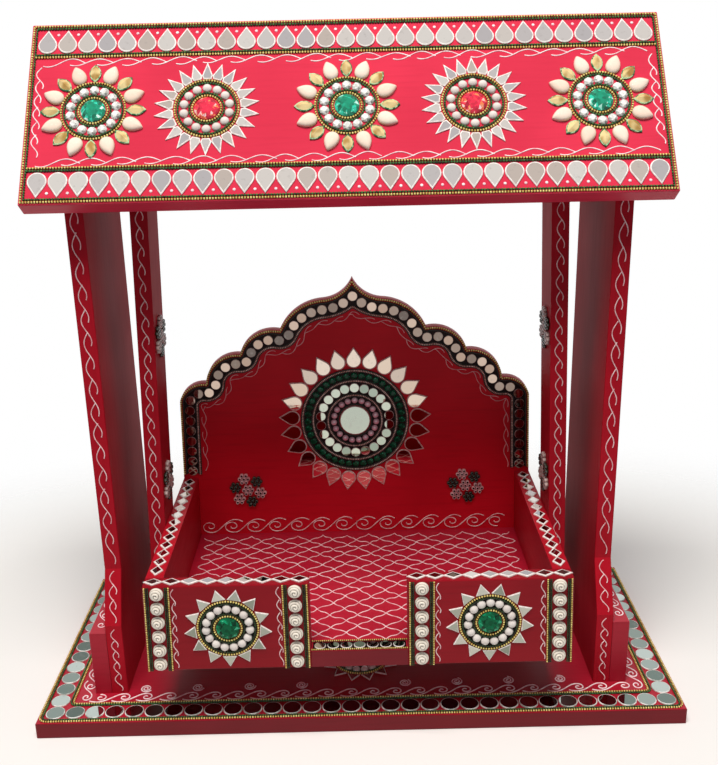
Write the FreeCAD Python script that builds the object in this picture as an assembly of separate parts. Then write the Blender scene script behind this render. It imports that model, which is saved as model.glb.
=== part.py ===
import FreeCAD, Part
import os
from math import acos, atan2, cos, degrees, pi, radians, sin, sqrt, tan

# A deity swing: a painted wooden stand with a base board, two side pillars and a
# gable roof, and a cradle with a scalloped backrest that hangs from an axle rod
# under the roof on two wooden arms. Millimetres, +Z up, the front faces -Y, and
# the origin is on the floor under the middle of the base board.

Vector = FreeCAD.Vector
os.makedirs("parts", exist_ok=True)

# Driving dimensions of the cradle that hangs in the stand
board = 12.0                # thickness of every painted board but the backrest
edge_round = 0.8            # radius of the sanded board edges
cradle_width = 287.0        # over the side panels, at their lower edge
cradle_bottom = 60.0        # height of the cradle's underside at rest
side_height = 63.5
side_lean = 1.5             # degrees that the swing's sides lean in towards the top
cradle_reach = 111.0        # from the pivot's plane forward to the cradle's front
cradle_inside_length = 164.0
front_block_width = 111.0   # of each front block, at its lower edge
backrest_height = 228.0
backrest_board = 9.0        # thickness of the backrest
arm_width = 35.0
arm_foot_rise = 6.0         # the arm's lower end stands this far above the cradle's
arm_foot_forward = 6.0      # the arm's lower end lies this far in front of the pivot

# Driving dimensions of the stand
base_depth = 203.0
base_side_margin = 34.5     # of the base board outside the foot braces
base_end_margin = 34.0      # of the base board before and behind the feet
cradle_side_room = 26.5     # between the cradle and each pillar
foot_flare = 16.5           # the foot is this much deeper than the pillar, each way
foot_height = 56.0          # upright part of the foot, above the base board
flare_height = 37.0         # sloping part of the foot, above the upright part
brace_height = 50.0
roof_side_overhang = 21.0   # outside the pillars
roof_slope_length = 129.5
roof_pitch = 54.5           # degrees from level
ridge_height = 474.0
pivot_below_ridge = 89.0

# Axle rod and its hardware
rod_diameter = 6.0
rod_bore_clearance = 0.1    # radial, where the rod is held in the pillars
arm_bore_clearance = 0.3    # radial, where the arms turn on the rod
rod_thread_out = 8.0        # rod beyond each pillar's outer face
spacer_diameter = 12.0
arm_side_play = 0.3         # between arm and spacer tube
washer_diameter = 13.0
washer_thickness = 1.2
nut_across_flats = 10.0
nut_height = 5.0
nut_dome_radius = 4.6
nut_tip_room = 0.6          # inside the closed end, beyond the rod's tip

# Screws and pins
screw_diameter = 4.0
screw_length = 34.0
screw_head_diameter = 8.0
screw_head_height = 2.4
screw_sink = 0.2            # head below the base board's underside
screw_clearance = 0.1       # radial
arm_screw_length = 21.0
arm_screw_head_diameter = 7.5
arm_screw_head_height = 2.2
pin_diameter = 1.8
pin_length = 26.0
pin_sink = 1.0              # pin's head below the painted face
pin_clearance = 0.05        # radial

# Inlaid mirrors, stones and pearls
mirror_thickness = 1.0
chain_width = 1.8           # width of one strand of ball chain
chain_height = 1.5
inlay_gap = 0.3             # between neighbouring pieces of the inlay
round_mirror_diameter = 13.5
round_mirror_spacing = 0.3  # least gap between two of them
small_mirror_diameter = 7.8
drop_mirror_width = 12.2
drop_mirror_length = 17.2
drop_mirror_spacing = 0.6
diamond_length = 11.0
diamond_width = 6.6
diamond_spacing = 1.1
pearl_diameter = 5.0
rose_bead_diameter = 9.3
stone_height = 3.0
stone_table_share = 0.62    # flat top of a stone, of its width
petal_height = 3.2
petal_top_share = 0.5       # top of a domed petal, of its outline
overrun = 1.0               # how far cutting tools pass the faces that they cut

# Worked-out places of the stand
pillar_in = cradle_width / 2 + cradle_side_room
pillar_out = pillar_in + board
brace_out = pillar_out + board
half_base = brace_out + base_side_margin
base_front = -base_depth / 2
foot_half = base_depth / 2 - base_end_margin
pillar_half = foot_half - foot_flare
foot_top = board + foot_height
flare_top = foot_top + flare_height
pitch = radians(roof_pitch)
roof_drop = board / cos(pitch)              # roof thickness, measured upright
ridge_under = ridge_height - roof_drop
half_roof = pillar_out + roof_side_overhang
eave_out = roof_slope_length * cos(pitch)
eave_height = ridge_height - roof_slope_length * sin(pitch)
eave_under_out = eave_out - board * sin(pitch)
eave_under_height = eave_height - board * cos(pitch)

# Worked-out places of the swing
pivot_height = ridge_height - pivot_below_ridge
front_gap = cradle_width - 2 * front_block_width
lean = radians(side_lean)
lean_board = board / cos(lean)              # board thickness, measured level
cradle_top = cradle_bottom + side_height
seat_top = cradle_bottom + board
cradle_front = -cradle_reach
side_front = cradle_front + board
side_back = side_front + cradle_inside_length
back_back = side_back + backrest_board
backrest_top = cradle_bottom + backrest_height
rod_radius = rod_diameter / 2
arm_half = arm_width / 2
arm_bottom = cradle_bottom + arm_foot_rise
arm_foot_middle = arm_bottom + arm_half
arm_rake = atan2(arm_foot_forward, pivot_height - arm_foot_middle)
arm_length = sqrt(arm_foot_forward ** 2 + (pivot_height - arm_foot_middle) ** 2)


def outer_at(height):
    """Half width over the swing's side panels at a height."""
    return cradle_width / 2 - (height - cradle_bottom) * tan(lean)


def save(name, *solids):
    """Write one node; several solids stay separate solids in it."""
    shape = solids[0] if len(solids) == 1 else Part.makeCompound(list(solids))
    shape.exportStep(os.path.join("parts", name + ".step"))


def block(x0, x1, y0, y1, z0, z1):
    size = (x1 - x0, y1 - y0, z1 - z0)
    return Part.makeBox(*size, Vector(x0, y0, z0))


def prism(points, sweep):
    """Solid swept from a closed flat outline."""
    wire = Part.makePolygon([Vector(*p) for p in points + points[:1]])
    return Part.Face(wire).extrude(Vector(*sweep))


def mirrored(shape):
    return shape.mirror(Vector(0, 0, 0), Vector(1, 0, 0))


def rod_along_x(radius, x0, x1, y, z):
    return Part.makeCylinder(radius, x1 - x0, Vector(x0, y, z), Vector(1, 0, 0))


def softened(solid, wanted):
    """Round the edges whose middle passes the test."""
    edges = [e for e in solid.Edges if wanted(e.valueAt((e.FirstParameter + e.LastParameter) / 2))]
    return solid.makeFillet(edge_round, edges)


def near(a, b):
    return abs(a - b) < edge_round / 2


def leaning(side, outside, z0, z1, y0, y1, inside=None):
    """Board or filling between the leaning planes of the swing's sides, as half widths."""
    inner = (lambda z: outside(z) - lean_board) if inside is None else inside
    corners = [(outside(z0), z0), (outside(z1), z1), (inner(z1), z1), (inner(z0), z0)]
    return prism([(side * x, y0, z) for x, z in corners], (0, y1 - y0, 0))


class Face:
    """A flat face that trim is set on: a middle point and two directions in the face."""

    def __init__(self, middle, across, up):
        self.middle = Vector(*middle)
        self.across = Vector(*across).normalize()
        self.up = Vector(*up).normalize()
        self.out = self.across.cross(self.up)
        turn = FreeCAD.Rotation(self.across, self.up, self.out, "ZXY")
        self.place = FreeCAD.Placement(self.middle, turn)

    def put(self, shape, x, y, turned=0.0):
        """Set a piece, made lying at the origin, on the face at x, y, turned about its middle."""
        spin = FreeCAD.Rotation(Vector(0, 0, 1), turned)
        shape = shape.copy()
        shape.Placement = self.place.multiply(FreeCAD.Placement(Vector(x, y, 0), spin))
        return shape


def ring_places(count, radius, x=0.0, y=0.0, start=90.0):
    """Places and turns of pieces evenly round a circle."""
    turns = [start + index * 360.0 / count for index in range(count)]
    return [(x + radius * cos(radians(t)), y + radius * sin(radians(t)), t) for t in turns]


def ring_count(radius, pitch):
    return int(2 * pi * radius / pitch)


def row_places(length, pitch):
    """Even places along a row, as many as fit in its length."""
    count = max(1, int(length / pitch))
    return [(index - (count - 1) / 2) * pitch for index in range(count)]


def edge_row(half_length, pitch):
    """Even places from corner to corner, no closer than the pitch."""
    gaps = int(2 * half_length / pitch)
    return [half_length * (2 * index / gaps - 1) for index in range(gaps + 1)]


# Shapes of the trim, made lying at the origin
def disc(diameter, height):
    return Part.makeCylinder(diameter / 2, height)


def drop_wire(width, length, height, share=1.0):
    """Closed drop outline: round end at the origin's side, tip towards +X."""
    radius = width / 2 * share
    reach = (length - width / 2) * share
    spread = acos(radius / reach)
    a = Vector(radius * cos(spread), radius * sin(spread), height)
    b = Vector(-radius, 0, height)
    c = Vector(radius * cos(spread), -radius * sin(spread), height)
    tip = Vector(reach, 0, height)
    return Part.Wire([Part.Arc(a, b, c).toShape(), Part.makeLine(c, tip), Part.makeLine(tip, a)])


def drop(width, length, height):
    return Part.Face(drop_wire(width, length, 0)).extrude(Vector(0, 0, height))


def domed_drop(width, length, height):
    outlines = [drop_wire(width, length, 0), drop_wire(width, length, height, petal_top_share)]
    return Part.makeLoft(outlines, True, True)


def kite(length, width, waist_share, height):
    """Four-cornered petal from the origin to a tip at +X, widest at its waist."""
    waist = length * waist_share
    return prism([(0, 0, 0), (waist, -width / 2, 0), (length, 0, 0), (waist, width / 2, 0)], (0, 0, height))


def triangle(length, width, height):
    return prism([(0, -width / 2, 0), (length, 0, 0), (0, width / 2, 0)], (0, 0, height))


def dome(diameter):
    return Part.makeSphere(diameter / 2, Vector(0, 0, 0), Vector(0, 0, 1), 0, 90, 360)


def stone(diameter, height):
    return Part.makeCone(diameter / 2, diameter / 2 * stone_table_share, height)


def chain_ring(radius, width):
    outer = Part.makeCylinder(radius + width / 2, chain_height)
    return outer.cut(Part.makeCylinder(radius - width / 2, chain_height))


def chain_box(x0, x1, y0, y1):
    return block(x0, x1, y0, y1, 0, chain_height)


def chain_frame(half_x, half_y):
    """Rectangular frame of double chain, measured over its outside."""
    in_x = half_x - 2 * chain_width
    in_y = half_y - 2 * chain_width
    return chain_box(-half_x, half_x, -half_y, half_y).cut(chain_box(-in_x, in_x, -in_y, in_y))


def chain_bar(low, high):
    """Upright run of double chain whose ends are cut level."""
    w = chain_width
    return prism([(low[0] - w, low[1], 0), (low[0] + w, low[1], 0), (high[0] + w, high[1], 0),
                  (high[0] - w, high[1], 0)], (0, 0, chain_height))


# Wood screws that come up through the base board into pillars and braces
screw_y_share = 0.26                       # of the foot's depth, either side of the middle
screw_ys = (-2 * foot_half * screw_y_share, 2 * foot_half * screw_y_share)
pillar_middle = pillar_in + board / 2
brace_middle = pillar_out + board / 2


def up_screw(x, y, grow=0.0):
    head = Part.makeCone(screw_head_diameter / 2 + grow, screw_diameter / 2 + grow, screw_head_height,
                         Vector(x, y, screw_sink))
    shank = Part.makeCylinder(screw_diameter / 2 + grow, screw_length - screw_sink + grow,
                              Vector(x, y, screw_sink))
    return head.fuse(shank)


def up_screw_hole(x, y):
    """Room for one screw, with its head's mouth open to the underside."""
    mouth = Part.makeCylinder(screw_head_diameter / 2 + screw_clearance, screw_sink + overrun,
                              Vector(x, y, -overrun))
    return up_screw(x, y, screw_clearance).fuse(mouth)


screw_spots = [(side * x, y) for side in (-1, 1) for x in (pillar_middle, brace_middle) for y in screw_ys]

# Base board: one plain board that lies flat on the floor
base = block(-half_base, half_base, base_front, -base_front, 0, board)
base = base.makeFillet(edge_round, base.Edges)
for x, y in screw_spots:
    base = base.cut(up_screw_hole(x, y))
save("base_board", base)
save("foot_screws", *[up_screw(x, y) for x, y in screw_spots])

# Roof pins, square to each slope, three into the top edge of each pillar
roof_pin_shares = (0.16, 0.42, 0.68)       # of the pillar's sloping edge, down from the ridge
pillar_edge = pillar_half / cos(pitch)


def slope_pin(x, share, front, grow=0.0, tail=0.0):
    """One pin of the roof; front is -1 for the front slope and 1 for the back one."""
    y = front * pillar_edge * share * cos(pitch)
    z = ridge_under - pillar_edge * share * sin(pitch)
    outward = Vector(0, front * sin(pitch), cos(pitch))
    head = Vector(x, y, z) + outward * (board - pin_sink + tail)
    return Part.makeCylinder(pin_diameter / 2 + grow, pin_length + grow + tail, head, outward * -1)


roof_pin_spots = [(side * pillar_middle, share, front)
                  for side in (-1, 1) for share in roof_pin_shares for front in (-1, 1)]

# Side pillars: boards with a flared foot and a gable-shaped top under the roof
pillar_top = ridge_under - pillar_half * tan(pitch)
front_profile = [(-foot_half, board), (-foot_half, foot_top),
                 (-pillar_half, flare_top), (-pillar_half, pillar_top)]
back_profile = [(-y, z) for y, z in reversed(front_profile)]
pillar_profile = front_profile + [(0, ridge_under)] + back_profile
pillar = prism([(pillar_in, y, z) for y, z in pillar_profile], (board, 0, 0))


def upright_pillar_edge(p):
    on_side = near(p.x, pillar_in) or near(p.x, pillar_out)
    return on_side and board + edge_round < p.z < pillar_top - edge_round


pillar = softened(pillar, upright_pillar_edge)
pillar = pillar.cut(rod_along_x(rod_radius + rod_bore_clearance, pillar_in - overrun, pillar_out + overrun,
                                0, pivot_height))
for y in screw_ys:
    pillar = pillar.cut(up_screw(pillar_middle, y, screw_clearance))
for x, share, front in roof_pin_spots:
    if x > 0:
        pillar = pillar.cut(slope_pin(x, share, front, pin_clearance))
save("right_pillar", pillar)
save("left_pillar", mirrored(pillar))

# Foot braces: low boards glued outside the pillars' feet
brace = block(pillar_out, brace_out, -foot_half, foot_half, board, board + brace_height)
brace = softened(brace, lambda p: near(p.x, brace_out))
for y in screw_ys:
    brace = brace.cut(up_screw(brace_middle, y, screw_clearance))
save("right_foot_brace", brace)
save("left_foot_brace", mirrored(brace))

# Roof: two boards mitred together along the ridge
slope_points = [(0, ridge_height), (-eave_out, eave_height),
                (-eave_under_out, eave_under_height), (0, ridge_under)]
roof_front = prism([(-half_roof, y, z) for y, z in slope_points], (2 * half_roof, 0, 0))
roof_front = softened(roof_front, lambda p: p.y < -edge_round)
roof_back = roof_front.mirror(Vector(0, 0, 0), Vector(0, 1, 0))
for x, share, front in roof_pin_spots:
    if front < 0:
        roof_front = roof_front.cut(slope_pin(x, share, front, pin_clearance))
    else:
        roof_back = roof_back.cut(slope_pin(x, share, front, pin_clearance))
save("roof_front_panel", roof_front)
save("roof_back_panel", roof_back)
save("roof_pins", *[slope_pin(x, share, front) for x, share, front in roof_pin_spots])

# Axle rod, fixed in both pillars, with spacer tubes, washers and closed nuts
rod_half = pillar_out + rod_thread_out
save("axle_rod", rod_along_x(rod_radius, -rod_half, rod_half, 0, pivot_height))
spacer_in = outer_at(pivot_height) + lean_board + arm_side_play
spacer = rod_along_x(spacer_diameter / 2, spacer_in, pillar_in, 0, pivot_height)
spacer = spacer.cut(rod_along_x(rod_radius + rod_bore_clearance, spacer_in, pillar_in, 0, pivot_height))
save("right_spacer_tube", spacer)
save("left_spacer_tube", mirrored(spacer))
washer_out = pillar_out + washer_thickness
washer = rod_along_x(washer_diameter / 2, pillar_out, washer_out, 0, pivot_height)
washer = washer.cut(rod_along_x(rod_radius + rod_bore_clearance, pillar_out, washer_out, 0, pivot_height))
save("axle_washers", washer, mirrored(washer))
nut_sides = 6
nut_corner = nut_across_flats / 2 / cos(radians(180 / nut_sides))
nut_points = [(washer_out, y, z) for y, z, turn in ring_places(nut_sides, nut_corner, 0, pivot_height)]
nut = prism(nut_points, (nut_height, 0, 0))
nut_cap = Part.makeSphere(nut_dome_radius, Vector(washer_out + nut_height, 0, pivot_height),
                          Vector(1, 0, 0), 0, 90, 360)
nut = nut.fuse(nut_cap).removeSplitter()
nut = nut.cut(rod_along_x(rod_radius + rod_bore_clearance, washer_out, rod_half + nut_tip_room,
                          0, pivot_height))
save("axle_nuts", nut, mirrored(nut))

# Cradle pins: through the end boards into the side panels and the seat board
side_pin_zs = (cradle_bottom + side_height / 3, cradle_bottom + side_height * 2 / 3)
seat_pin_z = cradle_bottom + board / 2
seat_pin_share = 0.5                       # of each front block's inner half


def end_pin(x, z, front, grow=0.0):
    """Pin along Y; front is -1 through a front block and 1 through the backrest."""
    head = Vector(x, cradle_front + pin_sink if front < 0 else back_back - pin_sink, z)
    return Part.makeCylinder(pin_diameter / 2 + grow, pin_length + grow, head, Vector(0, -front, 0))


def side_middle_at(z):
    return outer_at(z) - lean_board / 2


seat_pin_x = front_gap / 2 + (outer_at(seat_pin_z) - lean_board - front_gap / 2) * seat_pin_share
pin_spots = [(side * side_middle_at(z), z, front)
             for side in (-1, 1) for z in side_pin_zs for front in (-1, 1)]
pin_spots += [(side * seat_pin_x, seat_pin_z, front) for side in (-1, 1) for front in (-1, 1)]
end_pins = [end_pin(*spot) for spot in pin_spots]
pin_room = Part.makeCompound([end_pin(*spot, pin_clearance) for spot in pin_spots])
save("cradle_pins", *end_pins)

# Seat board: lies between the side panels, with a tongue between the front blocks
seat = leaning(1, lambda z: outer_at(z) - lean_board, cradle_bottom, seat_top, side_front, side_back,
               inside=lambda z: lean_board - outer_at(z))
seat = seat.fuse(block(-front_gap / 2, front_gap / 2, cradle_front, side_front, cradle_bottom, seat_top))
seat = seat.removeSplitter().cut(pin_room)
save("seat_board", seat)

# Arm screws, square to the leaning side boards
arm_screw_zs = (arm_foot_middle, cradle_top - arm_half)


def arm_screw(z, grow=0.0, head_grow=0.0):
    """Round-headed screw through the right arm into the right side panel."""
    seat_point = Vector(outer_at(z) + lean_board, (z - pivot_height) * tan(arm_rake), z)
    inward = Vector(-cos(lean), 0, -sin(lean))
    shank = Part.makeCylinder(screw_diameter / 2 + grow, arm_screw_length + grow, seat_point, inward)
    head = Part.makeCone(arm_screw_head_diameter / 2 + head_grow, arm_screw_head_diameter / 4 + head_grow,
                         arm_screw_head_height, seat_point, inward * -1)
    return shank.fuse(head)


# Side panels of the cradle
panel = leaning(1, outer_at, cradle_bottom, cradle_top, side_front, side_back)
for z in arm_screw_zs:
    panel = panel.cut(arm_screw(z, screw_clearance))
save("right_side_panel", panel.cut(pin_room))
save("left_side_panel", mirrored(panel).cut(pin_room))

# Front blocks of the cradle, either side of its opening
front_block = leaning(1, outer_at, cradle_bottom, cradle_top, cradle_front, side_front,
                      inside=lambda z: front_gap / 2)
front_block = softened(front_block, lambda p: near(p.y, cradle_front))
save("right_front_block", front_block.cut(pin_room))
save("left_front_block", mirrored(front_block).cut(pin_room))

# Backrest: a board with a scalloped top, four lobes and an ogee on each side
lobe_shares = (((0.962, 0.612), (0.843, 0.636)),
               ((0.784, 0.711), (0.641, 0.740)),
               ((0.571, 0.801), (0.411, 0.822)),
               ((0.312, 0.896), (0.160, 0.928)),
               ((0.057, 0.954), (0.0, 1.0)))
shoulder_share = 0.572                     # height of the straight sides
shoulder_height = cradle_bottom + backrest_height * shoulder_share
shoulder_x = outer_at(shoulder_height)


def backrest_point(side, x_share, z_share, y):
    return Vector(side * shoulder_x * x_share, y, cradle_bottom + backrest_height * z_share)


def backrest_edges(y):
    """Outline of the backrest at depth y: bottom, then each side up to the tip."""
    corner = {side: Vector(side * outer_at(cradle_bottom), y, cradle_bottom) for side in (-1, 1)}
    edges = [Part.makeLine(corner[-1], corner[1])]
    for side in (1, -1):
        start = backrest_point(side, 1.0, shoulder_share, y)
        edges.append(Part.makeLine(corner[side], start))
        for middle, end in lobe_shares:
            stop = backrest_point(side, *end, y)
            edges.append(Part.Arc(start, backrest_point(side, *middle, y), stop).toShape())
            start = stop
    return edges


backrest_outline = Part.Wire(Part.__sortEdges__(backrest_edges(side_back)))
backrest = Part.Face(backrest_outline).extrude(Vector(0, backrest_board, 0))
save("backrest", backrest.cut(pin_room))

# Hanger arms: flat bars outside the cradle's side panels, round at both ends
arm_reach = outer_at(arm_bottom) + 2 * lean_board
arm_blank = block(0, arm_reach, -arm_half, arm_half, pivot_height - arm_length, pivot_height)
for z in (pivot_height - arm_length, pivot_height):
    arm_blank = arm_blank.fuse(rod_along_x(arm_half, 0, arm_reach, 0, z))
arm_blank = arm_blank.removeSplitter()
arm_blank.rotate(Vector(0, 0, pivot_height), Vector(1, 0, 0), -degrees(arm_rake))
arm_slab = leaning(1, lambda z: outer_at(z) + lean_board, cradle_bottom - arm_width,
                   pivot_height + arm_width, -arm_foot_forward - arm_width, arm_width)
arm = arm_blank.common(arm_slab)
arm = arm.cut(rod_along_x(rod_radius + arm_bore_clearance, 0, arm_reach, 0, pivot_height))
for z in arm_screw_zs:
    arm = arm.cut(arm_screw(z, screw_clearance))
save("right_hanger_arm", arm)
save("left_hanger_arm", mirrored(arm))
arm_screws = [arm_screw(z) for z in arm_screw_zs]
save("arm_screws", *arm_screws, *[mirrored(s) for s in arm_screws])

# Faces that carry the inlay
roof_middle = (0, -eave_out / 2, (ridge_height + eave_height) / 2)
roof_face = Face(roof_middle, (1, 0, 0), (0, cos(pitch), sin(pitch)))
base_face = Face((0, 0, board), (1, 0, 0), (0, 1, 0))
seat_face = Face((0, (cradle_front + side_front) / 2, seat_top), (1, 0, 0), (0, 1, 0))
rim_face = Face((0, 0, cradle_top), (1, 0, 0), (0, 1, 0))
front_face = Face((0, cradle_front, cradle_bottom + side_height / 2), (1, 0, 0), (0, 0, 1))
back_face = Face((0, side_back, cradle_bottom), (1, 0, 0), (0, 0, 1))
double_chain = 2 * chain_width

# Drop mirrors of the roof: two bands between ball chains, tips to ridge and eave
roof_frame_half = roof_slope_length / 2 - edge_round
band_middle = roof_frame_half - double_chain - inlay_gap - drop_mirror_length / 2
roof_line_y = band_middle - drop_mirror_length / 2 - inlay_gap    # outer edge of the band's inner chain
drop_middle = (drop_mirror_length - drop_mirror_width) / 2    # from its round end's middle to its own
drop_piece = drop(drop_mirror_width, drop_mirror_length, mirror_thickness)
roof_drops = []
for x in row_places(2 * (half_roof - double_chain), drop_mirror_width + drop_mirror_spacing):
    for side in (1, -1):
        roof_drops.append(roof_face.put(drop_piece, x, side * (band_middle - drop_middle), side * 90))
save("roof_drop_mirrors", *roof_drops)

# Medallions: a stone, a ring of chain, a ring of pearls, another chain, then petals
medallion_stone = 16.0
medallion_inner = medallion_stone / 2 + inlay_gap + chain_width              # middle of the inner chain
pearl_ring = medallion_inner + chain_width + inlay_gap + pearl_diameter / 2
medallion_outer = pearl_ring + pearl_diameter / 2 + inlay_gap + chain_width  # middle of the outer chain
petal_start = medallion_outer + chain_width + inlay_gap
roof_medallion_pitch = 80.0
left_star_shift = 8.5                      # the left star was glued on nearer to the end flower
roof_medallions = row_places(2 * half_roof, roof_medallion_pitch)
roof_medallions[1] -= left_star_shift
flower_xs = roof_medallions[0::2]
star_xs = roof_medallions[1::2]
roof_pearl_spacing = 1.5
roof_pearl_count = ring_count(pearl_ring, pearl_diameter + roof_pearl_spacing)
round_stone = stone(medallion_stone, stone_height)


def round_ring(face, piece, count, radius, x, y=0.0, start=90.0):
    """The same piece set evenly round a circle on a face."""
    return [face.put(piece, *spot) for spot in ring_places(count, radius, x, y, start)]


def medallion_chains(face, x, y=0.0):
    rings = [chain_ring(radius, double_chain) for radius in (medallion_inner, medallion_outer)]
    return [face.put(ring, x, y) for ring in rings]


save("roof_green_stones", *[roof_face.put(round_stone, x, 0) for x in flower_xs])
save("roof_red_stones", *[roof_face.put(round_stone, x, 0) for x in star_xs])
pearl = dome(pearl_diameter)
save("roof_pearls", *[piece for x in roof_medallions
                      for piece in round_ring(roof_face, pearl, roof_pearl_count, pearl_ring, x)])

# Petals of the roof's flowers, by turns gold and pearl
vine_room = 5.4                            # between a medallion's tips and the ball chain
petal_pairs = 8
petal_length = roof_line_y - double_chain - vine_room - petal_start
pearl_petal_width_share = 0.68             # of the petal's length
gold_petal_width_share = 0.62
gold_petal_length_share = 0.93             # of the pearl petal's length


def flower_petals(width, length, start):
    """One kind of petal of every flower, its round end on the outer chain."""
    piece = domed_drop(width, length, petal_height)
    ring = petal_start + width / 2
    spots = [spot for x in flower_xs for spot in ring_places(petal_pairs, ring, x, 0, start)]
    return [roof_face.put(piece, *spot) for spot in spots]


gold_petal_length = petal_length * gold_petal_length_share
save("roof_gold_petals", *flower_petals(gold_petal_length * gold_petal_width_share, gold_petal_length, 90))
save("roof_pearl_petals",
     *flower_petals(petal_length * pearl_petal_width_share, petal_length, 90 + 180 / petal_pairs))

# Pointed mirror petals of the roof's two stars
star_petal_width = 5.9
star_waist_share = 0.36                    # widest place of the petal, from its inner end
star_count = ring_count(petal_start, star_petal_width)
star_petal = kite(petal_length, star_petal_width, star_waist_share, mirror_thickness)
save("roof_star_mirrors", *[piece for x in star_xs
                            for piece in round_ring(roof_face, star_petal, star_count, petal_start, x)])

# Ball chains of the roof: round its edge, inside each band and in the medallions
roof_frame_x = half_roof - edge_round
roof_line_x = roof_frame_x - double_chain
roof_chains = [chain_frame(roof_frame_x, roof_frame_half),
               chain_box(-roof_line_x, roof_line_x, roof_line_y - double_chain, roof_line_y),
               chain_box(-roof_line_x, roof_line_x, -roof_line_y, double_chain - roof_line_y)]
save("roof_ball_chain", *[roof_face.put(piece, 0, 0) for piece in roof_chains],
     *[ring for x in roof_medallions for ring in medallion_chains(roof_face, x)])

# Round mirrors all round the base, between two frames of ball chain
border_line = edge_round + double_chain + inlay_gap + round_mirror_diameter / 2
border_x = half_base - border_line
border_y = -base_front - border_line
round_piece = disc(round_mirror_diameter, mirror_thickness)
base_rounds = []
round_mirror_pitch = round_mirror_diameter + round_mirror_spacing
for x in edge_row(border_x, round_mirror_pitch):
    for side in (-1, 1):
        base_rounds.append(base_face.put(round_piece, x, side * border_y))
for y in edge_row(border_y, round_mirror_pitch)[1:-1]:
    for side in (-1, 1):
        base_rounds.append(base_face.put(round_piece, side * border_x, y))
save("base_round_mirrors", *base_rounds)
inner_frame_x = border_x - round_mirror_diameter / 2 - inlay_gap
inner_frame_y = border_y - round_mirror_diameter / 2 - inlay_gap
base_frames = [chain_frame(half_base - edge_round, -base_front - edge_round),
               chain_frame(inner_frame_x, inner_frame_y)]

# Broad star on the base, the same as those on the front blocks
broad_star_margin = 2.3                    # between its tips and the front block's edges
broad_petal_length = side_height / 2 - broad_star_margin - petal_start
broad_petal_width = 9.4
broad_petal_spacing = 0.7
broad_star_count = ring_count(petal_start, broad_petal_width + broad_petal_spacing)
broad_pearl_spacing = 1.1
broad_star_pearls = ring_count(pearl_ring, pearl_diameter + broad_pearl_spacing)
broad_petal = triangle(broad_petal_length, broad_petal_width, mirror_thickness)
star_setback = 7.0                         # star's tip behind the line of the feet's fronts
base_star_y = star_setback - foot_half + petal_start + broad_petal_length


save("base_star_mirrors", *round_ring(base_face, broad_petal, broad_star_count, petal_start, 0, base_star_y))
save("base_star_pearls", *round_ring(base_face, pearl, broad_star_pearls, pearl_ring, 0, base_star_y))
save("base_star_stone", base_face.put(round_stone, 0, base_star_y))
save("base_ball_chain", *[base_face.put(frame, 0, 0) for frame in base_frames],
     *medallion_chains(base_face, 0, base_star_y))

# Diamond mirrors on the cradle's rim
diamond = prism([(-diamond_length / 2, 0, 0), (0, -diamond_width / 2, 0), (diamond_length / 2, 0, 0),
                 (0, diamond_width / 2, 0)], (0, 0, mirror_thickness))
rim_x = outer_at(cradle_top) - lean_board / 2
rim_y = (cradle_front + side_front) / 2
block_length = outer_at(cradle_top) - front_gap / 2
block_middle = (outer_at(cradle_top) + front_gap / 2) / 2
diamond_pitch = diamond_length + diamond_spacing
diamonds = []
for side in (-1, 1):
    for x in row_places(block_length, diamond_pitch):
        diamonds.append(rim_face.put(diamond, side * block_middle + x, rim_y))
    for y in row_places(cradle_inside_length, diamond_pitch):
        diamonds.append(rim_face.put(diamond, side * rim_x, y + (side_front + side_back) / 2, 90))
save("cradle_diamond_mirrors", *diamonds)

# Medallions of the two front blocks
block_xs = (-block_middle, block_middle)
save("cradle_stones", *[front_face.put(round_stone, x, 0) for x in block_xs])
save("cradle_pearls", *[piece for x in block_xs
                        for piece in round_ring(front_face, pearl, broad_star_pearls, pearl_ring, x)])
front_star_start = 270.0                   # degrees: the first petal points straight down
save("cradle_star_mirrors",
     *[piece for x in block_xs
       for piece in round_ring(front_face, broad_petal, broad_star_count, petal_start, x, 0, front_star_start)])

# Strips of rose beads between ball chains, at both ends of each front block
strip_width = rose_bead_diameter + 2 * inlay_gap + 2 * double_chain
rose_bead_count = int(side_height / rose_bead_diameter)
rose_pitch = side_height / rose_bead_count
rose_piece = dome(rose_bead_diameter)
half_side = side_height / 2
rose_beads = []
cradle_chains = [ring for x in block_xs for ring in medallion_chains(front_face, x)]


def strip_x(inner, up):
    """Middle of an inner or an outer strip at a height over the block's middle."""
    if inner:
        return front_gap / 2 + edge_round + strip_width / 2
    return outer_at(cradle_bottom + half_side + up) - edge_round - strip_width / 2


for side in (-1, 1):
    for inner in (True, False):
        for index in range(rose_bead_count):
            up = (index - (rose_bead_count - 1) / 2) * rose_pitch
            rose_beads.append(front_face.put(rose_piece, side * strip_x(inner, up), up))
        for offset in (-1, 1):
            away = offset * (strip_width - double_chain) / 2
            low = (side * strip_x(inner, -half_side) + away, -half_side)
            high = (side * strip_x(inner, half_side) + away, half_side)
            cradle_chains.append(front_face.put(chain_bar(low, high), 0, 0))
save("cradle_rose_beads", *rose_beads)

# Front edge of the seat: a row of small round mirrors between two chains
sill_mirror_spacing = 1.1
small_piece = disc(small_mirror_diameter, mirror_thickness)
sill_xs = row_places(front_gap, small_mirror_diameter + sill_mirror_spacing)
save("sill_mirrors", *[seat_face.put(small_piece, x, 0) for x in sill_xs])
sill_inner = small_mirror_diameter / 2 + inlay_gap
for y in (-sill_inner - chain_width, sill_inner):
    cradle_chains.append(seat_face.put(chain_box(-front_gap / 2, front_gap / 2, y, y + chain_width), 0, 0))
save("cradle_ball_chain", *cradle_chains)

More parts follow.
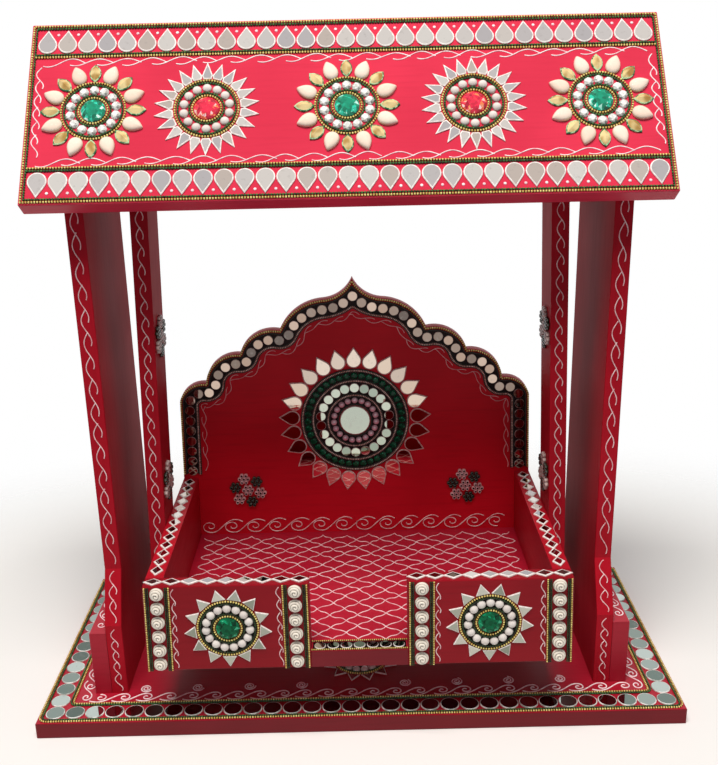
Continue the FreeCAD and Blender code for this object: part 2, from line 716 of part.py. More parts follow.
# Round mirrors along the edge of the backrest, between two double chains
edge_mirror_spacing = 0.8
edge_mirror_pitch = small_mirror_diameter + edge_mirror_spacing
edge_inset = double_chain + inlay_gap + small_mirror_diameter / 2
path_steps = 4000                          # fine points of the path, to measure along


def down_the_side(path, lowest):
    """Points from the tip down the right side of the path, one pitch apart, as x and z."""
    points = path.discretize(Number=path_steps)[:-1]
    tip = max(range(len(points)), key=lambda index: points[index].z)
    points = points[tip:] + points[:tip]
    if points[1].x < points[-1].x:
        points.reverse()
    chosen = [points[0]]
    for point in points:
        if point.z < lowest:
            break
        if point.distanceToPoint(chosen[-1]) >= edge_mirror_pitch:
            chosen.append(point)
    return [(point.x, point.z - cradle_bottom) for point in chosen]


edge_path = backrest_outline.makeOffset2D(-edge_inset)
edge_spots = down_the_side(edge_path, cradle_top + small_mirror_diameter / 2)
edge_mirrors = [back_face.put(small_piece, x, up) for x, up in edge_spots]
edge_mirrors += [back_face.put(small_piece, -x, up) for x, up in edge_spots[1:]]
save("backrest_edge_mirrors", *edge_mirrors)

# Rosette of the backrest, ring by ring from the middle
rosette_share = 0.488                      # height of its middle, of the backrest's
rosette_z = backrest_height * rosette_share
rosette_core = 24.4                        # diameter of the round mirror in the middle
rosette_mirror_spacing = 0.1
rosette_drop_spacing = 0.4
rosette_pearl_spacing = 0.6
green_stone_diameter = 4.4
green_stone_spacing = 1.5
thin_step = chain_width + 2 * inlay_gap
wide_step = double_chain + 2 * inlay_gap
pearl_band = rosette_core / 2 + thin_step + pearl_diameter / 2
mirror_band = pearl_band + pearl_diameter / 2 + wide_step + small_mirror_diameter / 2
green_band = mirror_band + small_mirror_diameter / 2 + wide_step + green_stone_diameter / 2
drop_band = green_band + green_stone_diameter / 2 + wide_step + drop_mirror_width / 2
rosette_rings = ((pearl_band - pearl_diameter / 2 - thin_step / 2, chain_width),
                 (pearl_band + pearl_diameter / 2 + wide_step / 2, double_chain),
                 (mirror_band + small_mirror_diameter / 2 + wide_step / 2, double_chain),
                 (green_band + green_stone_diameter / 2 + wide_step / 2, double_chain))
rosette_pearl_count = ring_count(pearl_band, pearl_diameter + rosette_pearl_spacing)
rosette_mirror_count = ring_count(mirror_band, small_mirror_diameter + rosette_mirror_spacing)
green_stone_count = ring_count(green_band, green_stone_diameter + green_stone_spacing)
rosette_drop_count = ring_count(drop_band, drop_mirror_width + rosette_drop_spacing)
core_piece = disc(rosette_core, mirror_thickness)
green_piece = stone(green_stone_diameter, stone_height / 2)
save("backrest_rosette_mirrors", back_face.put(core_piece, 0, rosette_z),
     *round_ring(back_face, small_piece, rosette_mirror_count, mirror_band, 0, rosette_z))
save("backrest_drop_mirrors",
     *round_ring(back_face, drop_piece, rosette_drop_count, drop_band, 0, rosette_z))
save("backrest_green_stones",
     *round_ring(back_face, green_piece, green_stone_count, green_band, 0, rosette_z))
save("backrest_pearls", *round_ring(back_face, pearl, rosette_pearl_count, pearl_band, 0, rosette_z))


def outline_strip(inset, width):
    """Band of chain that follows the backrest's outline above the seat."""
    outer = backrest_outline.makeOffset2D(-inset) if inset else backrest_outline
    band = Part.Face(outer).cut(Part.Face(backrest_outline.makeOffset2D(-inset - width)))
    strip = band.extrude(Vector(0, -chain_height, 0))
    above = block(-cradle_width, cradle_width, side_back - board, side_back + board,
                  cradle_top, backrest_top + board)
    return strip.common(above)


save("backrest_ball_chain", outline_strip(0.0, double_chain),
     outline_strip(edge_inset + small_mirror_diameter / 2 + inlay_gap, double_chain),
     *[back_face.put(chain_ring(radius, width), 0, rosette_z) for radius, width in rosette_rings])

# Bead flowers: six clusters round a middle one, on the backrest and inside the arms
cluster_diameter = 10.4
cluster_height = 2.8
cluster_petals = 6
flower_x_share = 0.625                     # of the backrest's half width
flower_rise_share = 0.2276                 # of the backrest's height
back_flower_start = 106.0                  # degrees: these two were glued on a little turned
cluster = stone(cluster_diameter, cluster_height)


def bead_flower(face, x=0.0, y=0.0, start=90.0):
    ring = cluster_diameter + inlay_gap / 2
    return [face.put(cluster, x, y)] + round_ring(face, cluster, cluster_petals, ring, x, y, start)


flower_x = outer_at(cradle_bottom) * flower_x_share
flower_rise = backrest_height * flower_rise_share
save("backrest_bead_flowers", *bead_flower(back_face, -flower_x, flower_rise, back_flower_start),
     *bead_flower(back_face, flower_x, flower_rise, back_flower_start))
arm_flower_shares = (0.113, 0.537)         # between the cradle's rim and the pivot


def arm_flower(share):
    """Flower on the inner face of the right arm, on the arm's raked middle line."""
    z = cradle_top + (pivot_height - cradle_top) * share
    middle = (outer_at(z), (z - pivot_height) * tan(arm_rake), z)
    return bead_flower(Face(middle, (0, -1, 0), (-sin(lean), 0, cos(lean))))


right_flowers = [piece for share in arm_flower_shares for piece in arm_flower(share)]
save("arm_bead_flowers", *right_flowers, *[mirrored(piece) for piece in right_flowers])
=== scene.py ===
import bmesh
import bpy
import random
from math import acos, atan2, cos, hypot, pi, radians, sin, tan
from mathutils import Matrix, Vector


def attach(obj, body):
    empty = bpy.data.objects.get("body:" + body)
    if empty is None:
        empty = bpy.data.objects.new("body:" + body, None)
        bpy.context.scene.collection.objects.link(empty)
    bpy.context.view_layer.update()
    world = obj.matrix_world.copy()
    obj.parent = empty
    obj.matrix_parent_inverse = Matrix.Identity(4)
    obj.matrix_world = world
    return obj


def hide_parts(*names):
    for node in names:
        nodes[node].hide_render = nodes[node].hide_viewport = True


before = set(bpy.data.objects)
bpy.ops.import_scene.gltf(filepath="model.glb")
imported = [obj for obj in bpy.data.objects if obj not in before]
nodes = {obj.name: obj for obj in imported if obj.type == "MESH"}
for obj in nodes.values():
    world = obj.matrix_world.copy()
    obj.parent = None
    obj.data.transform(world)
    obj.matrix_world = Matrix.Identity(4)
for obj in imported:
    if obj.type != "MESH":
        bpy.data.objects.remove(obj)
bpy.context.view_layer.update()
mm = 0.001

# Camera: in front of the swing and a little above its roof, looking down at it.
# Its place, tilt and lens were fitted to the corners of the base and the roof.
view_width, view_height = 718, 765
focal_pixels = 992.71
sensor_side = 36.0
camera_place = (0.002456, -0.687044, 0.452830)
camera_down, camera_right, camera_roll = radians(18.3655), radians(0.1057), radians(-1.2694)
lens_data = bpy.data.cameras.new("camera")
lens_data.sensor_width = sensor_side
lens_data.lens = focal_pixels / max(view_width, view_height) * sensor_side
camera = bpy.data.objects.new("camera", lens_data)
camera.matrix_world = (Matrix.Translation(camera_place)
                       @ Matrix.Rotation(-camera_right, 4, "Z")
                       @ Matrix.Rotation(pi / 2 - camera_down, 4, "X")
                       @ Matrix.Rotation(camera_roll, 4, "Z"))
bpy.context.scene.collection.objects.link(camera)
bpy.context.scene.camera = camera
bpy.context.scene.view_settings.view_transform = "Standard"


# Light: an open pale sky, a wide soft lamp overhead and a weaker one from the front.
# Upward faces are the brightest, and the boards under the roof lie in soft shade.
def colour(code):
    """Linear colour of six hexadecimal sRGB digits."""
    parts = [int(code[i:i + 2], 16) / 255 for i in (0, 2, 4)]
    linear = [p / 12.92 if p <= 0.04045 else ((p + 0.055) / 1.055) ** 2.4 for p in parts]
    return (*linear, 1.0)


class Wire:
    """Output of a node. Maths written on it adds Math nodes."""

    def __init__(self, net, socket):
        self.net, self.socket = net, socket

    def maths(self, operation, *values):
        return self.net.node("ShaderNodeMath", {"operation": operation}, dict(enumerate(values)))

    def __add__(self, other):
        return self.maths("ADD", self, other)

    def __sub__(self, other):
        return self.maths("SUBTRACT", self, other)

    def __rsub__(self, other):
        return self.maths("SUBTRACT", other, self)

    def __mul__(self, other):
        return self.maths("MULTIPLY", self, other)

    __radd__ = __add__
    __rmul__ = __mul__

    def most(self, other):
        return self.maths("MAXIMUM", self, other)

    def step(self, low, high):
        """0 below low, 1 above high, smooth between."""
        settings = {"interpolation_type": "SMOOTHSTEP"}
        return self.net.node("MapRange", settings, {"Value": self, 1: low, 2: high})


class Net:
    """Node tree that is filled from Python. A colour is given as its six digits."""

    family = "ShaderNode"

    def __init__(self, tree):
        self.tree = tree

    def node(self, kind, settings=None, values=None, out=0):
        """Add a node: first its settings, then the values and links of its inputs."""
        made = self.tree.nodes.new(kind if "Node" in kind else self.family + kind)
        for name, value in (settings or {}).items():
            setattr(made, name, value)
        for key, value in (values or {}).items():
            if isinstance(value, (Wire, list)):
                for wire in value if isinstance(value, list) else [value]:
                    self.tree.links.new(wire.socket, made.inputs[key])
            else:
                coded = made.inputs[key].type == "RGBA" and isinstance(value, str)
                made.inputs[key].default_value = colour(value) if coded else value
        return Wire(self, made.outputs[out]) if len(made.outputs) else None

    def blend(self, factor, first, second, mode="MIX"):
        """Mix two colours."""
        settings = {"data_type": "RGBA", "blend_type": mode}
        return self.node("Mix", settings, {0: factor, 6: first, 7: second}, 2)

    def place(self, stretch=(1.0, 1.0, 1.0)):
        """Object coordinates in metres, stretched."""
        point = self.node("TexCoord", out="Object")
        values = {"Vector": point, "Scale": stretch}
        return self.node("Mapping", {"vector_type": "POINT"}, values)

    def noise(self, scale, stretch=(1.0, 1.0, 1.0), detail=2.0):
        """Noise from 0 to 1; its lumps are about one metre over the scale."""
        values = {"Vector": self.place(stretch), "Scale": scale, "Detail": detail}
        return self.node("TexNoise", {}, values)


world = bpy.data.worlds.new("open_sky")
world.use_nodes = True
world.node_tree.nodes.clear()
sky = Net(world.node_tree)
sky_light = 0.2
sky_rays = [sky.node("LightPath", out=ray)
            for ray in ("Is Camera Ray", "Is Glossy Ray", "Is Transmission Ray")]
sky_seen = sky_rays[0].most(sky_rays[1]).most(sky_rays[2])
sky_glow = sky.node("Background", {}, {"Color": "eef3fa", "Strength": sky_light})
sky_white = sky.node("Background", {}, {"Color": "ffffff", "Strength": 1.0})
sky_mix = sky.node("MixShader", {}, {0: sky_seen, 1: sky_glow, 2: sky_white})
sky.node("OutputWorld", {}, {"Surface": sky_mix})
bpy.context.scene.world = world


def lamp(name, place, aim, width, height, watts, code):
    """Rectangular soft lamp that points at aim."""
    light = bpy.data.lights.new(name, "AREA")
    light.shape, light.size, light.size_y = "RECTANGLE", width, height
    light.energy, light.color = watts, colour(code)[:3]
    made = bpy.data.objects.new(name, light)
    made.location = place
    made.rotation_euler = (Vector(aim) - Vector(place)).to_track_quat("-Z", "Y").to_euler()
    made.visible_glossy = False
    bpy.context.scene.collection.objects.link(made)


lamp("overhead_lamp", (-0.1, -0.72, 2.05), (0.0, 0.0, 0.3), 1.0, 0.8, 49.0, "fffaf4")
lamp("front_lamp", (0.45, -1.9, 0.75), (0.0, 0.0, 0.2), 1.4, 1.0, 1.2, "ffffff")


# Table: a wide pale surface that keeps the swing's shadow and fades into the white round it.
# It isn't part of the swing.
class Finish(Net):
    """Material with a Principled shader that patterns are fed to."""

    def __init__(self, name, code, rough, metal=0.0, **sockets):
        self.material = bpy.data.materials.new(name)
        self.material.use_nodes = True
        super().__init__(self.material.node_tree)
        self.shader = self.tree.nodes["Principled BSDF"]
        given = {"Base Color": colour(code), "Roughness": rough, "Metallic": metal}
        given.update({key.replace("_", " "): value for key, value in sockets.items()})
        for key, value in given.items():
            self.shader.inputs[key].default_value = value

    def feed(self, **sockets):
        """Link patterns to the shader's sockets."""
        for key, value in sockets.items():
            self.tree.links.new(value.socket, self.shader.inputs[key.replace("_", " ")])

    def mottled(self, scale, dark, light, low=0.35, high=0.65, detail=2.0):
        """Base colour in clouds of two tones. Gives back the clouds."""
        clouds = self.noise(scale, detail=detail)
        self.feed(Base_Color=self.blend(clouds.step(low, high), dark, light))
        return clouds

    def relief(self, height, distance):
        """Bump from a pattern of heights from 0 to 1; the distance is in metres."""
        self.feed(Normal=self.node("Bump", {}, {"Height": height, "Distance": distance}))


def made_of(thing, finish):
    thing.data.materials.clear()
    thing.data.materials.append(finish.material)


def plain_mesh(name, points, faces, edges=()):
    mesh = bpy.data.meshes.new(name)
    mesh.from_pydata(points, list(edges), faces)
    return mesh


def shown(name, mesh):
    made = bpy.data.objects.new(name, mesh)
    bpy.context.scene.collection.objects.link(made)
    return made


table_half, table_clear = 3.0, 0.36
table_corners = ((-1, -1), (1, -1), (1, 1), (-1, 1))
table_points = [(x * table_half, y * table_half, 0) for x, y in table_corners]
table = shown("table", plain_mesh("table", table_points, [(0, 1, 2, 3)]))
pale = Finish("pale_table", "f2f2f0", 0.9)
table_point = pale.place((1.0, 1.5, 1.0))
from_middle = pale.node("VectorMath", {"operation": "LENGTH"}, {0: table_point}, "Value")
pale_mix = pale.node("MixShader", {}, {
    0: from_middle.step(table_clear, 2 * table_clear), 1: Wire(pale, pale.shader.outputs[0]),
    2: pale.node("BsdfTransparent")})
pale.tree.links.new(pale_mix.socket, pale.tree.nodes["Material Output"].inputs["Surface"])
made_of(table, pale)


# Base board: one sanded board, 457 by 203 and 12 mm thick, brushed and sprayed with gloss red
# enamel. It carries the two pillars, which are screwed on from below.
def enamel(name, along, code, worn, rough=0.26, gloss=0.22, shaded_front=None):
    """Gloss red paint over a sanded board; the brush marks run along x, y or z.

    A front edge, given by its place along Y, is painted darker: painted shade on the front face."""
    paint = Finish(name, code, rough, 0.0, Specular_IOR_Level=gloss)
    stretch = tuple(0.08 if axis == along else 1.0 for axis in "xyz")
    patches, streaks = paint.noise(14.0), paint.noise(420.0, stretch, 3.0)
    tone = paint.blend(patches.step(0.35, 0.68) * 0.5, code, worn)
    tone = paint.blend(streaks.step(0.45, 0.75) * 0.35, tone, worn)
    # Painted shade: the front face's colour is multiplied darker.
    if shaded_front is not None:
        dark_depth, soft_depth = 0.15, 0.6
        front_shade, full = (0.42, 0.36, 0.36, 1.0), (1.0, 1.0, 1.0, 1.0)
        depth = paint.node("SeparateXYZ", {}, {0: paint.place()}, "Y")
        shade_fade = depth.step((shaded_front + dark_depth) * mm, (shaded_front + soft_depth) * mm)
        tone = paint.blend(1.0, tone, paint.blend(shade_fade, front_shade, full), "MULTIPLY")
    paint.feed(Base_Color=tone, Roughness=rough + 0.12 * patches + 0.06 * streaks)
    paint.relief(streaks * 0.7 + paint.noise(60.0) * 0.5, 0.00012)
    return paint


def coated(finish, *names):
    """Give carried-over CAD nodes their finish."""
    for name in names:
        made_of(nodes[name], finish)


board, base_front = 12.0, -101.5
# Painted shade: the base and its braces take a darker copy of the red enamel.
shaded_base_enamel = enamel("base_red_enamel", "x", "a81a2f", "921424", shaded_front=base_front)
coated(shaded_base_enamel, "base_board")

# Pillars and foot braces: upright boards with flared feet, each with a low board glued outside
# its foot. They hold the roof and the axle rod.
pillar_middle, brace_middle = 176.0, 188.0
pillar_front, foot_front = -51.0, -67.5
foot_top, flare_top, brace_top = 68.0, 105.0, 62.0
# Painted shade: the pillars and the arms take a darker copy of the red enamel.
shaded_upright_enamel = enamel("upright_red_enamel", "z", "ae1526", "930f1d", 0.5, 0.1)
coated(shaded_upright_enamel, "left_pillar", "right_pillar")
coated(shaded_base_enamel, "left_foot_brace", "right_foot_brace")

# Roof: two boards of 12 mm, mitred along the ridge and pinned to the pillars' gable tops. The
# front one carries the trim. Both take a brighter copy of the red enamel: painted light of the
# sky on the upward slopes.
coated(enamel("roof_red_enamel", "x", "d2314b", "bd2940"), "roof_front_panel", "roof_back_panel")
roof_pitch, ridge_z, slope_length = radians(54.5), 474.0, 129.5

# Axle rod, spacer tubes, washers, closed nuts, screws and pins: drawn and turned hardware of
# zinc-plated steel. The rod runs through both pillars and is held by a nut at each end.
steel = Finish("zinc_plated_steel", "b9bcc0", 0.3, 1.0)
steel.feed(Base_Color=steel.blend(steel.noise(160.0), "a9adb2", "cdd0d2"),
           Roughness=0.24 + 0.2 * steel.noise(300.0, (0.15, 1.0, 1.0), 3.0))
steel.relief(steel.noise(900.0, (0.1, 1.0, 1.0)), 0.00002)
coated(steel, "axle_rod", "left_spacer_tube", "right_spacer_tube", "axle_washers", "axle_nuts",
       "arm_screws", "foot_screws", "roof_pins", "cradle_pins")


# Cradle boards: seat, side panels and front blocks, glued and pinned into a low box.
# The saw-cut boards are eased by hand with fine paper before they are painted.
def merged(node):
    """The CAD node's mesh as joined-up faces."""
    made = bmesh.new()
    made.from_mesh(nodes[node].data)
    bmesh.ops.remove_doubles(made, verts=made.verts, dist=0.002 * mm)
    bmesh.ops.dissolve_limit(made, angle_limit=radians(1.0), verts=made.verts, edges=made.edges)
    return made


def fitted(thing, body, slot, *replaced):
    """Hang the piece on its body and hide the CAD nodes that it stands for. Its slot is not used.
    """
    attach(thing, body)
    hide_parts(*replaced)


def shaped(name, made, finish):
    """Visible piece from a bmesh, which is used up."""
    mesh = bpy.data.meshes.new(name)
    made.to_mesh(mesh)
    made.free()
    thing = shown(name, mesh)
    made_of(thing, finish)
    return thing


def eased(node, body, finish, width=0.45 * mm):
    """The board with its sharp edges eased."""
    thing = shaped(node + "_eased", merged(node), finish)
    bevel = thing.modifiers.new("eased_edges", "BEVEL")
    bevel.width, bevel.segments = width, 2
    bevel.limit_method, bevel.angle_limit = "ANGLE", radians(40)
    fitted(thing, body, "red_paint", node)


cradle_bottom, seat_top, rim_top = 60.0, 72.0, 123.5
cradle_front, side_front, side_back = -111.0, -99.0, 65.0
lean = tan(radians(1.5))
# Painted light and shade: the front blocks, seat, side panels and backrest each take their own
# lighter or darker copy of the red enamel, with the front blocks the darkest.
coated(enamel("cradle_red_enamel", "x", "920f1d", "7c0a16", 0.34, 0.16),
       "left_front_block", "right_front_block")
# Painted shade: the front face of the seat's tongue is painted darker.
eased("seat_board", "swing",
      enamel("seat_red_enamel", "x", "b01d33", "9a1629", shaded_front=cradle_front))
for name in ("left_side_panel", "right_side_panel"):
    eased(name, "swing", enamel("panel_red_enamel_" + name[0], "y", "b01425", "960e1c", 0.34, 0.16))

# Backrest: a 9 mm board with a scalloped top, fretsawn and eased by hand. It is pinned to the
# back edges of the seat and of the side panels.
eased("backrest", "swing",
      enamel("backrest_red_enamel", "x", "d41529", "b70e1f", 0.34, 0.16), 0.6 * mm)

# Hanger arms: flat wooden bars with round ends, painted like the pillars. Each is screwed to
# the outside of a side panel, and its upper end turns on the axle rod.
for name in ("left_hanger_arm", "right_hanger_arm"):
    eased(name, "swing", shaded_upright_enamel, 0.6 * mm)


# Mirror pieces: silvered glass 1 mm thick, cut as drops, discs, kites, triangles and diamonds,
# glued down, with white lining paint over each cut edge.
class Side:
    """Flat painted face: its middle in millimetres, its directions across, up and out, its body."""

    def __init__(self, middle, across, up, body="swing"):
        self.middle, self.body = Vector(middle), body
        self.across, self.up = Vector(across).normalized(), Vector(up).normalized()
        self.out = self.across.cross(self.up)

    def at(self, x, y, rise=0.0):
        """Point in metres, lifted out of the face."""
        return (self.middle + self.across * x + self.up * y + self.out * rise) * mm

    def turn(self, angle):
        """Turn of a piece that lies on the face and points at an angle from across to up."""
        along = self.across * cos(angle) + self.up * sin(angle)
        return Matrix((along, self.out.cross(along), self.out)).transposed().to_quaternion()


def spots(node, side, pointing=lambda x, y: 0.0, near=20.0):
    """Side, middle and pointing angle of each separate solid of a CAD node near the face."""
    made = merged(node)
    made.verts.index_update()
    seen, found = set(), []
    for first in made.verts:
        if first.index in seen:
            continue
        seen.add(first.index)
        front, solid = [first], []
        while front:
            vert = front.pop()
            solid.append(vert.co / mm - side.middle)
            for edge in vert.link_edges:
                other = edge.other_vert(vert)
                if other.index not in seen:
                    seen.add(other.index)
                    front.append(other)
        if abs(solid[0].dot(side.out)) > near:
            continue
        flat = [(p.dot(side.across), p.dot(side.up)) for p in solid]
        angle = pointing(*((min(v) + max(v)) / 2 for v in zip(*flat)))
        c, s = cos(angle), sin(angle)
        reach = [x * c + y * s for x, y in flat]
        spread = [y * c - x * s for x, y in flat]
        a, b = (min(reach) + max(reach)) / 2, (min(spread) + max(spread)) / 2
        found.append((side, a * c - b * s, a * s + b * c, angle))
    made.free()
    return found


def nearest_to(middles, x, y):
    """Distance and direction of a point from the nearest of some middles."""
    mx, my = min(middles, key=lambda m: hypot(x - m[0], y - m[1]))
    return hypot(x - mx, y - my), atan2(y - my, x - mx)


def away_from(*middles):
    return lambda x, y: nearest_to(middles, x, y)[1]


def circle(count, radius, start=0.0):
    return [(radius * cos(start + 2 * pi * i / count), radius * sin(start + 2 * pi * i / count))
            for i in range(count)]


def drop_outline(width, length, steps=14):
    """Round end towards -X and tip towards +X, about the middle of the length."""
    radius, reach = width / 2, length - width / 2
    spread, shift = acos(radius / reach), (length - width) / 2
    turns = [spread + 2 * (pi - spread) * i / steps for i in range(steps + 1)]
    return [(radius * cos(t) - shift, radius * sin(t)) for t in turns] + [(reach - shift, 0.0)]


def normals(outline, index):
    """Inward directions of the two edges that meet at a corner of an outline."""
    a, b, c = (Vector(outline[i % len(outline)]) for i in (index - 1, index, index + 1))
    return [Vector((-edge.y, edge.x)).normalized() for edge in (b - a, c - b)]


def inset(outline, distance):
    """A convex outline moved inwards by the same distance everywhere."""
    moved = []
    for index, point in enumerate(outline):
        n1, n2 = normals(outline, index)
        moved.append(Vector(point) + (n1 + n2) * distance / (1 + n1.dot(n2)))
    return moved


def bands(count, rings):
    """Faces between rings of points that are counted alike, then the bottom and the top."""
    starts = [(ring * count + i, ring * count + (i + 1) % count)
              for ring in range(rings - 1) for i in range(count)]
    bottom, top = tuple(range(count))[::-1], tuple(range((rings - 1) * count, rings * count))
    return [(a, b, b + count, a + count) for a, b in starts] + [bottom, top]


def marked(mesh, name, kind, domain, values):
    """Give the mesh an attribute."""
    mesh.attributes.new(name, kind, domain).data.foreach_set("value", values)


def raised(name, outline, levels, rim_bands=0, smooth=False):
    """Closed piece that rises from an outline through levels of height, inset and share."""
    count, points = len(outline), []
    for height, inward, share in levels:
        points += [Vector((x * share, y * share, height)) * mm for x, y in inset(outline, inward)]
    mesh = plain_mesh(name, points, bands(count, len(levels)))
    walls = (len(levels) - 1) * count
    marked(mesh, "rim", "BOOLEAN", "FACE", [i < rim_bands * count for i in range(walls + 2)])
    mesh.polygons.foreach_set("use_smooth", [smooth] * walls + [False, smooth])
    return mesh


class Recipe(Net):
    """Geometry Nodes tree with named inputs."""

    family = "GeometryNode"

    def __init__(self, name, **kinds):
        super().__init__(bpy.data.node_groups.new(name, "GeometryNodeTree"))
        sockets = self.tree.interface
        for key, kind in {"Geometry": "Geometry", **kinds}.items():
            sockets.new_socket(key.replace("_", " "), in_out="INPUT",
                               socket_type="NodeSocket" + kind)
        sockets.new_socket("Result", in_out="OUTPUT", socket_type="NodeSocketGeometry")
        group = self.tree.nodes.new("NodeGroupInput")
        self.given = {socket.name: Wire(self, socket) for socket in group.outputs}

    def end(self, result, finish):
        """Make the result real and give it its finish."""
        real = self.node("RealizeInstances", {}, {"Geometry": result})
        return self.node("SetMaterial", {}, {"Geometry": real, "Material": finish})

    def tube(self, line, radius):
        """Round tube with closed ends along a curve."""
        profile = self.node("CurvePrimitiveCircle", {}, {"Resolution": 5, "Radius": radius})
        return self.node("CurveToMesh", {}, {
            "Curve": line, "Profile Curve": profile, "Fill Caps": True})

    def close(self, result):
        self.node("NodeGroupOutput", {}, {"Result": result})

    def run(self, name, mesh, **values):
        """Run the tree on a mesh and keep what it makes as a plain mesh."""
        thing = shown(name, mesh)
        modifier = thing.modifiers.new(name, "NODES")
        modifier.node_group = self.tree
        for socket in self.tree.interface.items_tree:
            key = socket.name.replace(" ", "_")
            if socket.in_out == "INPUT" and key in values:
                modifier[socket.identifier] = values[key]
        bpy.context.view_layer.update()
        evaluated = thing.evaluated_get(bpy.context.evaluated_depsgraph_get())
        real = bpy.data.meshes.new_from_object(evaluated)
        thing.modifiers.clear()
        thing.data = real
        return thing


setting = Recipe("set_pieces", Piece="Object", Finish="Material", Rim_finish="Material")
piece_shape = setting.node("ObjectInfo", {}, {"Object": setting.given["Piece"]}, "Geometry")
piece_turn, piece_rim = (
    setting.node("InputNamedAttribute", {"data_type": kind}, {"Name": name})
    for kind, name in (("QUATERNION", "turn"), ("BOOLEAN", "rim")))
pieces_set = setting.node("InstanceOnPoints", {}, {
    "Points": setting.given["Geometry"], "Instance": piece_shape, "Rotation": piece_turn})
setting.close(setting.node("SetMaterial", {}, {
    "Geometry": setting.end(pieces_set, setting.given["Finish"]), "Selection": piece_rim,
    "Material": setting.given["Rim finish"]}))


def set_on(name, places, piece, finish, rim_finish=None, tilt=0.0):
    """Set a piece at each place, with a tone of its own and a small tilt in degrees."""
    chance = random.Random(name)
    mesh = plain_mesh(name, [side.at(x, y) for side, x, y, angle in places], [])
    turns = []
    for side, x, y, angle in places:
        wobble_x, wobble_y = (chance.uniform(-1, 1) * radians(tilt) for _ in range(2))
        lean_x = Vector((1, 0, 0)).rotation_difference(Vector((1, 0, wobble_y)))
        lean_y = Vector((0, 1, 0)).rotation_difference(Vector((0, 1, wobble_x)))
        turns += list(side.turn(angle) @ lean_x @ lean_y)
    marked(mesh, "turn", "QUATERNION", "POINT", turns)
    marked(mesh, "tone", "FLOAT", "POINT", [chance.random() for _ in places])
    holder = bpy.data.objects.new(name + "_pattern", piece)
    thing = setting.run(name, mesh, Piece=holder, Finish=finish.material,
                        Rim_finish=(rim_finish or finish).material)
    bpy.data.objects.remove(holder)
    return thing


def glued(name, node, slot, where, piece, finish, rim_finish=None, tilt=0.0, pointing=None):
    """Glue a piece on for each solid of a CAD node: for all on a face, or at places from spots."""
    if isinstance(where, Side):
        where = spots(node, where, pointing or (lambda x, y: 0.0))
    thing = set_on(name, where, piece, finish, rim_finish, tilt)
    fitted(thing, where[0][0].body, slot, node)


def tone_of(net, name="tone"):
    return net.node("Attribute", {"attribute_name": name}, {}, "Fac")


def silvered(name, *tones, rough=0.02):
    """Mirror glass whose pieces differ in tone, with faint ripples and clouding."""
    glass = Finish(name, tones[0], rough, 1.0)
    cloud, piece_tone = glass.noise(350.0, detail=3.0), tone_of(glass)
    # Painted reflection: the tones given are the colours that the glass shows where it is used.
    tint = tones[0]
    for index, code in enumerate(tones[1:], 1):
        edge = index / len(tones)
        tint = glass.blend(piece_tone.step(edge - 0.04, edge + 0.04), tint, code)
    glass.feed(Base_Color=glass.blend(cloud.step(0.55, 0.8) * 0.35, tint, "a39c98"),
               Roughness=rough + 0.03 * cloud.step(0.5, 0.8))
    glass.relief(glass.noise(60.0, detail=0.0), 0.00008)
    return glass


mirror = silvered("silvered_glass", "b3acab", "beb4b0", "aaa5a8", "c9bfb6", "dcd6cf", "b8a69d")
# Painted reflection: the roof's glass is paler, for the sky that it reflects.
roof_mirror = silvered("pale_roof_glass", "c4bdbb", "cfc8c4", "bcb6b6", "d8d0c9", "dcd6cf",
                       "c6b8ae")
lining = Finish("white_lining", "ece6e2", 0.45)
lining.mottled(500.0, "d9cfcb", "f6f3f0", 0.35, 0.7)
lining.relief(lining.noise(900.0, detail=3.0), 0.00008)


def cut_glass(name, outline, lined, dished=None):
    """Pane 1 mm thick, lined with paint over its edge, with its middle a little sunk if dished."""
    levels = [(0.0, 0.0, 1.0), (0.7, 0.0, 1.0), (1.0, lined, 1.0)]
    levels += [(0.95, dished, 1.0)] if dished else []
    return raised(name, outline, levels, len(levels) - 1)


drop_glass = cut_glass("drop_glass", drop_outline(12.2, 17.2), 0.5, 0.8)
round_glass = cut_glass("round_glass", circle(24, 6.75), 0.35, 0.6)
small_glass = cut_glass("small_glass", circle(18, 3.9), 0.3)

# Roof's edge bands: 31 drops of mirror along the ridge and 31 along the eave, tips outwards,
# with a dot of white paint between the tips.
roof = Side((0, -slope_length * cos(roof_pitch) / 2, ridge_z - slope_length * sin(roof_pitch) / 2),
            (1, 0, 0), (0, cos(roof_pitch), sin(roof_pitch)), "stand")
roof_drops = spots("roof_drop_mirrors", roof, lambda x, y: pi / 2 if y > 0 else -pi / 2)
glued("roof_drop_glass", "roof_drop_mirrors", "mirror_glass", roof_drops, drop_glass, roof_mirror,
      lining, 0.8)


# Roof's medallions: three flowers of ivory and gold petals round an emerald, and two stars of
# pointed mirrors round a ruby, each with a ring of set stones or pearls between ball chains.
flower_xs, star_xs = (-160.0, 0.0, 160.0), (-88.5, 80.0)
middles = [(x, 0.0) for x in flower_xs + star_xs]
kite_half, kite_shoulder, kite_width, kite_foot = 6.07, 3.5, 6.9, 5.0
kite_outline = [(-kite_half, -kite_foot / 2), (-kite_shoulder, -kite_width / 2), (kite_half, 0.0),
                (-kite_shoulder, kite_width / 2), (-kite_half, kite_foot / 2)]
glued("roof_star_glass", "roof_star_mirrors", "mirror_glass", roof,
      cut_glass("kite_glass", kite_outline, 0.75), roof_mirror, lining, 1.5, away_from(*middles))


def domed(name, radius, count, rings, flatten=1.0):
    """Half-round bead with its flat side down."""
    turns = [pi / 2 * i / rings for i in range(rings)]
    levels = [(radius * flatten * sin(t), 0.0, cos(t)) for t in turns]
    levels.append((radius * flatten * 0.995, 0.0, 0.12))
    return raised(name, circle(count, radius), levels, 0, True)


